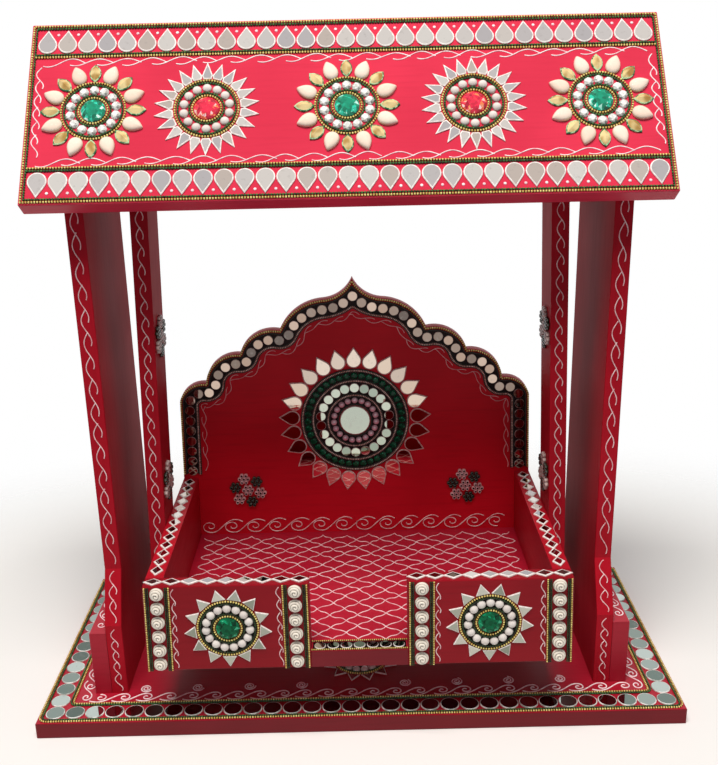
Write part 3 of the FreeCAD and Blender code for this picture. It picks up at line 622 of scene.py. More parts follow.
def lustre(name, code, warm, rough=0.16):
    """Pearl paint: a pale ground with a faint cloudy tint under a clear coat."""
    shell = Finish(name, code, rough, 0.0, Coat_Weight=0.8, Coat_Roughness=0.05)
    cloud = shell.noise(700.0, detail=3.0)
    tint = shell.blend(tone_of(shell) * 0.5 + cloud * 0.5, code, warm)
    shell.feed(Base_Color=tint, Roughness=rough + 0.15 * cloud)
    shell.relief(cloud, 0.00003)
    return shell


pearl = lustre("white_pearl", "e9e2dc", "cfc3bd")
pearl_bead = domed("pearl_bead", 3.1, 14, 4, 0.86)
roof_beads = spots("roof_pearls", roof)
flower_beads = [spot for spot in roof_beads if min(abs(spot[1] - x) for x in flower_xs) < 20.0]
star_beads = [spot for spot in roof_beads if spot not in flower_beads]
glued("roof_star_pearls", "roof_pearls", "pearl", star_beads, pearl_bead, pearl)


def gem(name, radius, height, sides, table=0.55):
    """Cut stone with a table, star facets and girdle facets, each with a value of its own for its
    painted shade.
    """
    step = 2 * pi / sides
    base = circle(2 * sides, radius)
    middle, top = circle(sides, radius * 0.8, step / 2), circle(sides, radius * table)
    rings = ((base, 0.0), (base, 0.3), (middle, 0.78), (top, 1.0))
    points = [Vector((x, y, share * height)) * mm for ring, share in rings for x, y in ring]
    n = 2 * sides
    faces = bands(n, 2)[:-2]
    mid, tab = 2 * n, 2 * n + sides
    for i in range(sides):
        j, g = (i + 1) % sides, n + 2 * i
        nxt = n + (2 * i + 2) % n
        faces += [(g, g + 1, mid + i), (g + 1, nxt, mid + i)]
        faces += [(g, mid + i, tab + i), (nxt, tab + j, mid + i), (mid + i, tab + j, tab + i)]
    faces += [tuple(range(n))[::-1], tuple(range(tab, tab + sides))]
    mesh = plain_mesh(name, points, faces)
    chance = random.Random(name)
    shades = [chance.random() for _ in faces[:-1]] + [0.45]
    marked(mesh, "facet", "FLOAT", "FACE", shades)
    return mesh


def cut_stone(name, dark, body, painted_glint, light, shine=0.5):
    """Foil-backed stone: each facet is painted its own shade, a few with painted glints and
    highlights.
    """
    jewel = Finish(name, body, 0.08, Specular_IOR_Level=shine)
    facet = tone_of(jewel, "facet")
    point = jewel.place((520.0, 520.0, 520.0))
    cells = jewel.node("TexVoronoi", {"feature": "F1"}, {"Vector": point, "Scale": 1.0}, "Color")
    chips = jewel.node("SeparateColor", {}, {"Color": cells})
    mixed = facet * 0.65 + chips * 0.35
    # Painted reflection: facets are painted dark, body-coloured, glinting or near white.
    base = jewel.blend(mixed.step(0.1, 0.55), dark, body)
    base = jewel.blend(mixed.step(0.6, 0.74), base, painted_glint)
    jewel.feed(Base_Color=jewel.blend(mixed.step(0.8, 0.88), base, light))
    return jewel


emerald = cut_stone("emerald_glass", "01503b", "038c6b", "2bcfae", "dcfbf4", 0.35)
block_emerald = cut_stone("block_emerald_glass", "012617", "04603c", "089062", "4fbd94", 0.12)
deep_emerald = cut_stone("deep_emerald_glass", "022114", "045a39", "0a8a5a", "3cb88c", 0.2)
ruby = cut_stone("ruby_glass", "9c0c28", "dd2546", "f28a4a", "fad2d6", 0.35)
crystal = cut_stone("clear_crystal", "9a9c99", "ebebe7", "ffffff", "ffffff")
big_gem = gem("big_gem", 8.0, 3.0, 8)
glued("roof_emeralds", "roof_green_stones", "green_stone", roof, big_gem, emerald)
glued("roof_rubies", "roof_red_stones", "red_stone", roof, big_gem, ruby)
glued("roof_crystals", "roof_pearls", "pearl", flower_beads, gem("small_crystal", 3.15, 2.4, 5),
      crystal)


def egg_outline(width, length, steps=20):
    """Like a drop, but with full sides and a soft tip towards +X."""
    turns = [2 * pi * i / steps for i in range(steps)]
    full, soft = 0.26, 0.42
    return [(length / 2 * cos(t),
             width / 2 * sin(t) * (1 - full * cos(t)) * (1 - soft * max(0.0, cos(t)) ** 3))
            for t in turns]


ivory = lustre("ivory_petal", "f0e2d2", "e2c4ae")
petal_levels = ((0.0, 0.0, 1.0), (1.1, 0.0, 0.99), (2.1, 0.0, 0.9), (2.8, 0.0, 0.7),
                (3.15, 0.0, 0.38), (3.2, 0.0, 0.1))
ivory_petal = raised("ivory_petal", egg_outline(9.3, 13.7), petal_levels, 0, True)
glued("roof_ivory_petals", "roof_pearl_petals", "pearl", roof, ivory_petal, ivory,
      pointing=away_from(*middles))


def marquise(name, length, width, height, steps=6):
    """Petal pointed at both ends, with a sharp ridge along its back and a flat rim."""
    arch = [(length * (i / steps - 0.5), width / 2 * sin(pi * i / steps) ** 0.8)
            for i in range(1, steps)]
    outline = [(-length / 2, 0.0)] + [(x, -y) for x, y in arch] + [(length / 2, 0.0)] + arch[::-1]
    edge_height = 1.25
    mesh = raised(name, outline, ((0.0, 0.0, 1.0), (1.0, 0.0, 1.0), (edge_height, 0.0, 0.84)), 2)
    made = bmesh.new()
    made.from_mesh(mesh)
    made.faces.ensure_lookup_table()
    top = made.faces[-1]
    ends = sorted(top.verts, key=lambda v: v.co.x)
    split = bmesh.utils.face_split(top, ends[0], ends[-1])[0]
    ridge = [e for e in split.edges if {ends[0], ends[-1]} == set(e.verts)]
    cut = bmesh.ops.subdivide_edges(made, edges=ridge, cuts=steps - 1)
    for vert in (v for v in cut["geom_inner"] if isinstance(v, bmesh.types.BMVert)):
        share = abs(vert.co.x) / (length * 0.42 * mm)
        vert.co.z = (edge_height + (height - edge_height) * max(0.0, 1 - share ** 2)) * mm
    bmesh.ops.triangulate(made, faces=[f for f in made.faces if len(f.verts) > 4])
    made.to_mesh(mesh)
    made.free()
    return mesh


gilt = Finish("gilt_petal", "dcc07c", 0.3, 0.35)
gilt_worn = gilt.mottled(130.0, "efd99c", "b48c46", 0.4, 0.7, 1.0)
gilt.feed(Roughness=0.26 + 0.15 * gilt_worn)
gilt.relief(gilt_worn, 0.00002)
enamelled_rim = Finish("green_petal_rim", "2c6a35", 0.3)
enamelled_rim.mottled(300.0, "17653f", "a9cf9f", 0.45, 0.55)
glued("roof_gilt_petals", "roof_gold_petals", "gold_petal", roof,
      marquise("gilt_petal", 12.9, 7.6, 3.2), gilt, enamelled_rim, pointing=away_from(*middles))

# Roof's ball chains: brass and green strands of small balls on a thread, laid in pairs round
# the edge, inside the drop bands and round every medallion, and glued down.
beading = Recipe("ball_chain", Pitch="Float", Ball="Float", Finish="Material", Thread="Material")
chain_line = beading.node("MeshToCurve", {}, {"Mesh": beading.given["Geometry"]})
chain_steps = beading.node("ResampleCurve", {"mode": "LENGTH"},
                           {"Curve": chain_line, "Length": beading.given["Pitch"]})
ball_segments, ball_rings = 6, 4
ball = beading.node("MeshUVSphere", {}, {
    "Segments": ball_segments, "Rings": ball_rings, "Radius": beading.given["Ball"] * 0.5})
balls = beading.node("InstanceOnPoints", {}, {"Points": chain_steps, "Instance": ball})
thread = beading.node("SetMaterial", {}, {
    "Geometry": beading.tube(chain_line, beading.given["Ball"] * 0.3),
    "Material": beading.given["Thread"]})
strung = beading.node("JoinGeometry", {}, {
    "Geometry": [beading.end(balls, beading.given["Finish"]), thread]})
beading.close(beading.node("SetShadeSmooth", {}, {"Geometry": strung}))
dark_thread = Finish("dark_thread", "1b1a0e", 0.7)
dark_thread.feed(Base_Color=dark_thread.blend(dark_thread.noise(500.0), "120f08", "2a2a18"))


def lines_mesh(name, lines, rise):
    """Edges through the points of each line: its side, its points and whether it closes."""
    points, edges = [], []
    for side, line, closed in lines:
        first = len(points)
        points += [side.at(x, y, rise) for x, y in line]
        edges += [(i, i + 1) for i in range(first, len(points) - 1)]
        if closed:
            edges.append((len(points) - 1, first))
    return plain_mesh(name, points, [], edges)


ball_pitch = 1.12


def chain(name, replaced, lines, finish, ball_size=1.6, top=1.5):
    """Strand of balls along each line, with its top at a height above the face."""
    mesh = lines_mesh(name, lines, top - ball_size / 2)
    thing = beading.run(name, mesh, Pitch=ball_size * ball_pitch * mm, Ball=ball_size * mm,
                        Finish=finish.material, Thread=dark_thread.material)
    fitted(thing, lines[0][0].body, "ball_chain", replaced)


def box_line(half_x, half_y, bend=0.0):
    """Rectangle, with its corners rounded to a bend where one is given."""
    corners = ((1, -1), (1, 1), (-1, 1), (-1, -1))
    steps = 5 if bend else 1
    line = []
    for turn, (sx, sy) in enumerate(corners):
        for i in range(steps):
            angle = pi / 2 * (turn - 1 + i / max(1, steps - 1))
            line.append((sx * (half_x - bend) + bend * cos(angle),
                         sy * (half_y - bend) + bend * sin(angle)))
    return line


def ring_line(radius, x=0.0, y=0.0):
    return [(x + a, y + b) for a, b in circle(72, radius)]


def ball_finish(name, dark, light, rough, metal):
    balls_finish = Finish(name, light, rough, metal)
    clouds = balls_finish.mottled(420.0, dark, light)
    balls_finish.feed(Roughness=rough + 0.12 * clouds)
    balls_finish.relief(clouds, 0.00003)
    return balls_finish


brass_ball = ball_finish("brass_ball", "d2ae56", "f4e38c", 0.3, 0.4)
green_ball = ball_finish("green_ball", "0f3f1c", "3f7d3c", 0.3, 0.2)
half_strand = 0.9
edge_x, edge_y = 202.2, 63.95
band_out, band_in, band_x = 42.55, 38.95, 198.6
stone_chain, petal_chain = 10.1, 19.3


def medallion_lines(side, places):
    """Brass and green strands round each medallion, the brass ones innermost and outermost."""
    return ([(side, ring_line(radius, x, y), True) for x, y in places
             for radius in (stone_chain + shift, petal_chain - shift)]
            for shift in (-half_strand, half_strand))


def frame_line(side, half_x, half_y, inward, bend=0.0):
    """Strand inside a rectangle, some half strands in from its outline."""
    gap = inward * half_strand
    return (side, box_line(half_x - gap, half_y - gap, bend and bend - gap), True)


def straight(side, half, y):
    return (side, [(-half, y), (half, y)], False)


brass_rings, green_rings = medallion_lines(roof, middles)
brass_lines = [frame_line(roof, edge_x, edge_y, 1)]
brass_lines += [straight(roof, band_x, sign * (band_in + half_strand)) for sign in (-1, 1)]
green_lines = [frame_line(roof, edge_x, edge_y, 3)]
green_lines += [straight(roof, band_x, sign * (band_out - half_strand)) for sign in (-1, 1)]
chain("roof_brass_chain", "roof_ball_chain", brass_lines + brass_rings, brass_ball)
chain("roof_green_chain", "roof_ball_chain", green_lines + green_rings, green_ball)

# Painted vines: thin raised lines of white paint, squeezed from a cone by hand in S strokes,
# each hooked round the last.
painting = Recipe("painted_line", Width="Float", Finish="Material")
paint_line = painting.node("MeshToCurve", {}, {"Mesh": painting.given["Geometry"]})
painting.close(painting.node("SetShadeSmooth", {}, {"Geometry": painting.end(
    painting.tube(paint_line, painting.given["Width"] * 0.5), painting.given["Finish"])}))


def painted(name, lines, width, finish):
    """Raised paint line half sunk in the face."""
    mesh = lines_mesh(name, lines, 0.06 * width)
    thing = painting.run(name, mesh, Width=width * mm, Finish=finish.material)
    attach(thing, lines[0][0].body)


def cone_paint(name, dark, light):
    trail = Finish(name, light, 0.4)
    worn = trail.mottled(300.0, dark, light, 0.3, 0.65, 3.0)
    trail.feed(Roughness=0.35 + 0.2 * worn)
    trail.relief(trail.noise(1500.0), 0.00005)
    return trail


white_paint = cone_paint("white_cone_paint", "e9b9c2", "fbeff0")
rosy_white_paint = cone_paint("rosy_white_cone_paint", "dfa3a8", "f6d7d9")
squiggle_paint = cone_paint("squiggle_paint", "d99aa2", "f4dcdc")
pink_paint = cone_paint("pink_cone_paint", "e0a2a8", "ffe4e4")


def along(start, end, line):
    """A line given along and beside a run, laid between two points of a face."""
    sx, sy = start
    length = hypot(end[0] - sx, end[1] - sy)
    c, s = (end[0] - sx) / length, (end[1] - sy) / length
    return [(sx + u * c - v * s, sy + u * s + v * c) for u, v in line]


def sway(t):
    """Sideways place along one stroke: low at its start, full at its crest, then falling."""
    return -cos(pi * (1.8 * t - 0.22))


stroke_steps, curl_steps, sweep_steps = 22, 22, 14


def vine(side, start, end, pitch, reach, seed, overlap=1.6):
    """Chain of long strokes; each starts under the crest of the last and closes a leaf with it."""
    chance, lines = random.Random(seed), []
    length = hypot(end[0] - start[0], end[1] - start[1])
    count = max(2, round(length / pitch))
    pitch = length / (count + overlap - 1)
    for index in range(count):
        first = index * pitch + chance.uniform(-0.06, 0.06) * pitch
        stroke = pitch * (overlap + chance.uniform(-0.08, 0.08))
        high = reach * chance.uniform(0.85, 1.1)
        lift = chance.uniform(-0.12, 0.12) * reach
        line = [(min(max(first + stroke * i / stroke_steps, 0.0), length),
                 lift + high * sway(i / stroke_steps)) for i in range(stroke_steps + 1)]
        lines.append((side, along(start, end, line), False))
    return lines


def spiral(x, y, radius, start, turns, steps, core, stretch=1.0):
    """Spiral that opens from a core, which is a share of its radius."""
    line = []
    for i in range(steps + 1):
        angle, size = start + 2 * pi * turns * i / steps, radius * (core + (1 - core) * i / steps)
        line.append((x + stretch * size * cos(angle), y + size * sin(angle)))
    return line


def scrolls(side, start, end, pitch, height, seed, curls=1.2, stretch=1.15, fill=0.4):
    """Running scroll: each curl is low in the band and sweeps on over the top of the next one."""
    chance, lines = random.Random(seed), []
    length = hypot(end[0] - start[0], end[1] - start[1])
    count = max(1, round(length / pitch))
    pitch = length / count
    for index in range(count):
        u0 = (index + 0.42) * pitch + chance.uniform(-0.04, 0.04) * pitch
        v0, size = -0.06 * height, height * fill * chance.uniform(0.94, 1.06)
        line = spiral(u0, v0, size, radians(285 - 360 * curls), curls, curl_steps, 0.16, stretch)
        if index < count - 1:
            sweep = (line[-1], (line[-1][0] + 0.42 * pitch, line[-1][1] + 0.02 * height),
                     (u0 + 0.8 * pitch, 0.88 * height),
                     (u0 + pitch * chance.uniform(1.38, 1.5), height * chance.uniform(0.26, 0.34)))
            for i in range(1, sweep_steps + 1):
                t = i / sweep_steps
                shares = ((1 - t) ** 3, 3 * t * (1 - t) ** 2, 3 * t * t * (1 - t), t ** 3)
                line.append(tuple(sum(share * point[axis] for share, point in zip(shares, sweep))
                                  for axis in (0, 1)))
        lines.append((side, along(start, end, line), False))
    return lines


vine_line, vine_x = 35.9, 195.6
roof_vines = []
for line_y, seed in ((vine_line, 11), (-vine_line, 12)):
    roof_vines += vine(roof, (-194, line_y), (194, line_y), 17.4, 2.6, seed)
for sign in (-1, 1):
    roof_vines += vine(roof, (sign * vine_x, -32), (sign * vine_x, 33), 11.5, 2.3, 13 + sign)
painted("roof_vines", roof_vines, 0.85, white_paint)
dot_bead = domed("paint_dot", 1.15, 8, 2, 0.4)
dot_places = []
drop_xs = sorted({round(x, 3) for side, x, y, angle in roof_drops})
for left, right in zip(drop_xs, drop_xs[1:]):
    dot_places += [(roof, (left + right) / 2, dot_y, 0.0) for dot_y in (-57.0, 57.0)]
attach(set_on("roof_paint_dots", dot_places, dot_bead, white_paint), "stand")

# Base's border: 88 round mirrors between two frames of ball chain, a running scroll and small
# curls in white paint, and a star of mirrors in the middle, under the cradle.
base = Side((0, 0, board), (1, 0, 0), (0, 1, 0), "stand")
# Painted reflection and shade: the base's glass is dark grey-green, for the ground that it
# reflects, and its lining is darker grey.
base_lining = Finish("clouded_lining", "cfcec8", 0.4)
base_lining.mottled(260.0, "a3a8a1", "eeeeea")
base_mirror = silvered("greenish_silvered_glass", "75837c", "a0aca6", "8b9790", "bfc9c3", "616d66")
glued("base_round_glass", "base_round_mirrors", "mirror_glass", base, round_glass, base_mirror,
      base_lining, 1.5)
base_star = (0.0, -31.05)
shard_glass = cut_glass("shard_glass", [(-4.02, -4.7), (4.02, 0.0), (-4.02, 4.7)], 0.45)
glued("base_star_glass", "base_star_mirrors", "mirror_glass", base, shard_glass, mirror, lining,
      1.0, away_from(base_star))
glued("base_pearls", "base_star_pearls", "pearl", base, pearl_bead, pearl)
glued("base_emerald", "base_star_stone", "green_stone", base, big_gem, emerald)
frame_x, frame_y = 227.7, 100.7
inner_x, inner_y = 210.0, 83.0
outer_bend, inner_bend = 6.4, 5.9
brass_rings, green_rings = medallion_lines(base, [base_star])
brass_lines, green_lines = (
    [frame_line(base, frame_x, frame_y, outer, outer_bend),
     frame_line(base, inner_x, inner_y, inner, inner_bend)] for outer, inner in ((1, 3), (3, 1)))
chain("base_brass_chain", "base_ball_chain", brass_lines + brass_rings, brass_ball)
chain("base_green_chain", "base_ball_chain", green_lines + green_rings, green_ball)
run_x, scroll_x, scroll_y = 198, 200.3, 73.6
base_paint = []
for sign, seed in ((-1, 21), (1, 22)):
    base_paint += scrolls(base, (-run_x * sign, scroll_y * sign), (run_x * sign, scroll_y * sign),
                          16.5, 9.8, seed)
for sign in (-1, 1):
    base_paint += scrolls(base, (sign * scroll_x, -78.5), (sign * scroll_x, 78.5), 14.0, 9.6,
                          23 + sign)
curl_gap, curl_x = 38, 152
for row_y in (-63.0, 62.0):
    base_paint += [(base, spiral(x - 5.6, row_y, 4.4, x, 2.1, 26, 0.15), False)
                   for x in range(-curl_x, curl_x + 1, curl_gap) if x]
painted("base_scrolls", base_paint, 1.05, white_paint)

# Pillars' painted edges: a white vine up the front and back edges, and a running scroll along
# the top of each foot brace, all squeezed from the cone of paint.
brace_tops = Side((0, 0, brace_top), (1, 0, 0), (0, 1, 0), "stand")
edge_paint = []
for face, sign in ((-1, 1), (1, -1)):
    upright = Side((0, face * -pillar_front, 0), (sign, 0, 0), (0, 0, 1), "stand")
    foot = Side((0, face * -foot_front, 0), (sign, 0, 0), (0, 0, 1), "stand")
    slope_up = Vector((0, face * (foot_front - pillar_front), flare_top - foot_top))
    sloped = Side((0, face * -foot_front, foot_top), (sign, 0, 0), slope_up, "stand")
    for x in (-pillar_middle, pillar_middle):
        top = ridge_z - board / cos(roof_pitch) + pillar_front * tan(roof_pitch) - 3
        seed = int(x) + face
        edge_paint += vine(upright, (x, flare_top + 3), (x, top), 16.5, 2.8, seed)
        edge_paint += vine(foot, (x, board + 2), (x, foot_top - 2), 10.5, 2.3, seed + 5)
        edge_paint += vine(sloped, (x, 2.0), (x, slope_up.length - 2.0), 12.0, 2.5, seed + 9)
painted("pillar_vines", edge_paint, 0.75, rosy_white_paint)
brace_paint = []
for x in (-brace_middle, brace_middle):
    brace_paint += scrolls(brace_tops, (x, -62), (x, 62), 13.5, 8.4, int(x))
painted("brace_scrolls", brace_paint, 0.95, white_paint)

# Front blocks' trim: a star of mirrors round an emerald on each, and at both ends a strip of
# rose beads with three thin strands of ball chain on either side and a painted squiggle.
front = Side((0, cradle_front, (cradle_bottom + rim_top) / 2), (1, 0, 0), (0, 0, 1))
block_stars = [(x, y) for side, x, y, angle in spots("cradle_stones", front)]
# Painted reflection: the front blocks' glass is grey.
block_mirror = silvered("grey_silvered_glass", "9a9d92", "a9aca1", "868b7f", "b9b9ae")
glued("cradle_star_glass", "cradle_star_mirrors", "mirror_glass", front, shard_glass, block_mirror,
      lining, 1.5, away_from(*block_stars))
glued("cradle_white_pearls", "cradle_pearls", "pearl", front, pearl_bead, pearl)
glued("cradle_emeralds", "cradle_stones", "green_stone", front, big_gem, block_emerald)


def rose(name, radius, rings=16, count=26):
    """Half-round bead moulded with the turning petals of a rose; its folds also paint shade into
    the grooves.
    """
    points, folds_and_shade = [], []
    for ring in range(rings):
        a = pi / 2 * ring / rings
        for i in range(count):
            t = 2 * pi * i / count
            fold = abs(sin(0.5 * t + 6.3 * a))
            folds_and_shade.append(fold)
            size = radius * (1 - 0.3 * (1 - fold) ** 2 * min(1.0, 3 * a))
            flat = size * cos(a)
            points.append(Vector((flat * cos(t), flat * sin(t), size * sin(a))) * mm)
    points.append(Vector((0, 0, radius * 0.96)) * mm)
    *faces, bottom, last_ring = bands(count, rings)
    faces += [(a, b, len(points) - 1) for a, b in zip(last_ring, last_ring[1:] + last_ring[:1])]
    faces.append(bottom)
    mesh = plain_mesh(name, points, faces)
    marked(mesh, "fold", "FLOAT", "POINT", folds_and_shade + [1.0])
    mesh.polygons.foreach_set("use_smooth", [True] * (len(faces) - 1) + [False])
    return mesh


rose_pearl = Finish("rose_pearl", "e6dccd", 0.25, 0.0, Coat_Weight=0.5, Coat_Roughness=0.1)
rose_groove_shade = tone_of(rose_pearl, "fold")
# Painted shade: the grooves between the petals are painted dark brown.
rose_pearl.feed(Base_Color=rose_pearl.blend(rose_groove_shade.step(0.1, 0.6), "7d7062", "efe6d8"),
                Roughness=0.22 + 0.1 * rose_pearl.noise(700.0))
dark_green_ball = ball_finish("dark_green_ball", "08190b", "25451f", 0.3, 0.4)
glued("cradle_roses", "cradle_rose_beads", "pearl", front, rose("rose_bead", 4.65), rose_pearl)


def ground(name, side, outer, inner=()):
    """Flat coat of black lacquer inside a closed line, with a hole where a second one is given."""
    made, edges, height = bmesh.new(), [], 0.2
    for line in filter(None, (outer, inner)):
        verts = [made.verts.new(side.at(x, y, height)) for x, y in line]
        edges += [made.edges.new((a, b)) for a, b in zip(verts, verts[1:] + verts[:1])]
    bmesh.ops.triangle_fill(made, use_beauty=True, use_dissolve=False, edges=edges, normal=side.out)
    thick = bmesh.ops.extrude_face_region(made, geom=list(made.faces))
    bmesh.ops.translate(made, vec=side.out * -height * mm,
                        verts=[v for v in thick["geom"] if isinstance(v, bmesh.types.BMVert)])
    bmesh.ops.recalc_face_normals(made, faces=list(made.faces))
    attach(shaped(name, made, black_lacquer), side.body)


black_lacquer = Finish("black_lacquer", "100404", 0.6, Specular_IOR_Level=0.15)
black_lacquer.mottled(260.0, "0b0303", "1f0707", 0.4, 0.7)
black_lacquer.relief(black_lacquer.noise(800.0), 0.00005)
for side_name, star in zip(("left", "right"), sorted(block_stars)):
    ground(side_name + "_star_ground", front, ring_line(petal_chain, *star),
           ring_line(stone_chain, *star))


def outer_at(z):
    """Half the cradle's width at a height: its side panels lean inwards."""
    return cradle_half - (z - cradle_bottom) * lean


cradle_half, thin_strand = 143.5, 1.2
strip_half, strip_low = 8.55, (rim_top - cradle_bottom) / 2
brass_rings, green_rings = medallion_lines(front, block_stars)
thin_brass, thin_green, squiggles = [], [], []
for sign in (-1, 1):
    inner_strip = (41.85, 41.85)
    outer_strip = [outer_at(z) - 9.35 for z in (cradle_bottom, rim_top)]
    for (low_x, high_x), star_side in ((inner_strip, 1), (outer_strip, -1)):
        for away in (-1, 1):
            for step, kind in enumerate((thin_brass, thin_green, thin_green)):
                beside = away * (strip_half - thin_strand * (step + 0.5))
                kind.append((front, [(sign * low_x + beside, -strip_low + 0.6),
                                     (sign * high_x + beside, strip_low - 0.6)], False))
        beside = sign * star_side * (strip_half + 2.2)
        squiggles += vine(front, (sign * low_x + beside, -strip_low + 2),
                          (sign * high_x + beside, strip_low - 2), 9.2, 1.5, int(low_x) + sign, 1.3)
sill = Side((0, -105.0, seat_top), (1, 0, 0), (0, 1, 0))
thin_brass += [straight(sill, 32, y) for y in (-5.1, 5.1)]
chain("cradle_brass_chain", "cradle_ball_chain", brass_rings, brass_ball)
chain("cradle_green_chain", "cradle_ball_chain", green_rings, dark_green_ball)
chain("cradle_thin_brass_chain", "cradle_ball_chain", thin_brass, brass_ball, thin_strand)
chain("cradle_thin_green_chain", "cradle_ball_chain", thin_green, dark_green_ball, thin_strand)
painted("cradle_squiggles", squiggles, 0.7, squiggle_paint)

# Cradle's rim and sill: diamonds of mirror in thick white outlines along the rim, and seven
# small round mirrors on black lacquer between two strands of chain on the sill.
rim = Side((0, 0, rim_top), (1, 0, 0), (0, 1, 0))
diamond_outline = [(-6.6, 0.0), (0.0, -4.4), (6.6, 0.0), (0.0, 4.4)]
glued("cradle_diamond_glass", "cradle_diamond_mirrors", "mirror_glass", rim,
      cut_glass("diamond_glass", diamond_outline, 1.05), mirror, lining, 1.5,
      lambda x, y: 0.0 if y < side_front else pi / 2)
glued("sill_glass", "sill_mirrors", "mirror_glass", sill, small_glass, block_mirror, lining, 1.5)
ground("sill_ground", sill, box_line(31.5, 4.5))

# Seat floor's painting: a net of white lines drawn freehand from corner to corner, and a
# running scroll along the backrest's foot.
seat = Side((0, 0, seat_top), (1, 0, 0), (0, 1, 0))
back = Side((0, side_back, 0), (1, 0, 0), (0, 0, 1))
chance = random.Random(31)
net_x, net_y, net_start = 19.6, 8.2, -98
net_rows, net_columns, net_side, net_end = 19, 13, 130, 60
line_steps = 6
net_lines, knots = [], {}


def knot(column, row):
    if (column, row) not in knots:
        knots[column, row] = (column * net_x / 2 + chance.uniform(-1.7, 1.7),
                              net_start + row * net_y + chance.uniform(-1.4, 1.4))
    return knots[column, row]


for row in range(net_rows):
    for column in range(-net_columns, net_columns + 1):
        for step in (-1, 1) if (column + row) % 2 == 0 else ():
            (x0, y0), (x1, y1) = knot(column, row), knot(column + step, row + 1)
            if max(abs(x0), abs(x1)) <= net_side and y1 <= net_end:
                bow = chance.uniform(0.5, 1.3)
                line = [(x0 + (x1 - x0) * t, y0 + (y1 - y0) * t + bow * sin(2 * pi * t))
                        for t in (i / line_steps for i in range(line_steps + 1))]
                net_lines.append((seat, line, False))
net_paint = cone_paint("net_cone_paint", "dc9fa8", "f8dee1")
painted("seat_net", net_lines, 0.78, net_paint)
foot_scroll = scrolls(back, (-131, 79.6), (127, 79.6), 19.0, 12.6, 33, 1.3, 1.3, 0.43)
painted("backrest_foot_scroll", foot_scroll, 0.85, pink_paint)


# Backrest's border: small round mirrors on black lacquer, between a brass and a bronze strand
# that follow the scalloped edge and two bronze strands with a thin copper one laid on them.
# A thin pink vine runs inside them.
lobes = (((0.962, 0.612), (0.843, 0.636)), ((0.784, 0.711), (0.641, 0.740)),
         ((0.571, 0.801), (0.411, 0.822)), ((0.312, 0.896), (0.160, 0.928)),
         ((0.057, 0.954), (0.0, 1.0)))
backrest_height = 228.0
shoulder_z = cradle_bottom + backrest_height * 0.572
shoulder_x = outer_at(shoulder_z)


def arc_through(a, b, c, steps=16):
    """Points of the arc from a through b to c, without its first point."""
    ax, ay, bx, by, cx, cy = *a, *b, *c
    d = 2 * (ax * (by - cy) + bx * (cy - ay) + cx * (ay - by))
    sa, sb, sc = ax * ax + ay * ay, bx * bx + by * by, cx * cx + cy * cy
    ux = (sa * (by - cy) + sb * (cy - ay) + sc * (ay - by)) / d
    uy = (sa * (cx - bx) + sb * (ax - cx) + sc * (bx - ax)) / d
    t0, t1, t2 = (atan2(y - uy, x - ux) for x, y in (a, b, c))
    turn = (t2 - t0) % (2 * pi)
    if (t1 - t0) % (2 * pi) > turn:
        turn -= 2 * pi
    r = hypot(ax - ux, ay - uy)
    return [(ux + r * cos(t0 + turn * i / steps), uy + r * sin(t0 + turn * i / steps))
            for i in range(1, steps + 1)]


side_zs = [cradle_bottom + i * 4.0 for i in range(33)]
right_half = [(outer_at(z), z) for z in side_zs if z < shoulder_z - 2] + [(shoulder_x, shoulder_z)]
for middle, end in lobes:
    through, stop = ((shoulder_x * x, cradle_bottom + backrest_height * z)
                     for x, z in (middle, end))
    right_half += arc_through(right_half[-1], through, stop)
outline = right_half + [(-x, z) for x, z in reversed(right_half[:-1])]


def inside_line(distance, lowest):
    """Line that runs inside the backrest's outline at a distance, above a height."""
    raw = []
    for index in range(1, len(outline) - 1):
        here, (n1, n2) = Vector(outline[index]), normals(outline, index)
        fan = [(n1 + n2).normalized()]
        if n1.cross(n2) < -0.2:
            fan = [n1.lerp(n2, i / 8).normalized() for i in range(9)]
        raw += [here + n * distance for n in fan]
    segments = [(Vector(a), Vector(b) - Vector(a)) for a, b in zip(outline, outline[1:])]
    kept = []
    for point in raw:
        shares = [min(max((point - a).dot(d) / d.length_squared, 0.0), 1.0) for a, d in segments]
        nearest = min((a + d * share - point).length for (a, d), share in zip(segments, shares))
        if nearest > distance - 0.12 and point.y > lowest:
            kept.append((point.x, point.y))
    return kept


def evened(line, step):
    """The line with points a step apart."""
    made, left = [line[0]], step
    for (x0, y0), (x1, y1) in zip(line, line[1:]):
        length = hypot(x1 - x0, y1 - y0)
        gone = 0.0
        while length - gone >= left:
            gone += left
            made.append((x0 + (x1 - x0) * gone / length, y0 + (y1 - y0) * gone / length))
            left = step
        left -= length - gone
    return made


# Painted reflection: the backrest's edge glass is brownish.
edge_mirror = silvered("brownish_silvered_glass", "b39a89", "85756b", "cdb5a4", "6f645e", "9c897d")
edge_lining = Finish("worn_lining", "a98f86", 0.5)
edge_lining.mottled(420.0, "6d4a44", "d9c8c0")
glued("backrest_edge_glass", "backrest_edge_mirrors", "mirror_glass", back, small_glass,
      edge_mirror, edge_lining, 1.2)
bronze_ball = ball_finish("dark_bronze_ball", "0a0604", "1f160f", 0.45, 0.0)
copper_ball = ball_finish("copper_ball", "c9988a", "ffe9dd", 0.35, 0.3)
lowest_chain = rim_top + 1.0
outer_lines = [(back, inside_line(0.9, lowest_chain), False)]
dark_lines = [(back, inside_line(d, lowest_chain), False) for d in (2.7, 12.9, 14.7)]
thin_lines = [(back, inside_line(13.8, lowest_chain), False)]
rosette_places = spots("backrest_pearls", back)
rosette = (sum(p[1] for p in rosette_places) / len(rosette_places), 171.26)
for radius in (13.4, 20.8, 22.6, 32.8, 34.6, 41.4, 43.2):
    dark_lines.append((back, ring_line(radius, *rosette), True))
for radius in (21.7, 33.7, 42.3):
    thin_lines.append((back, ring_line(radius, *rosette), True))
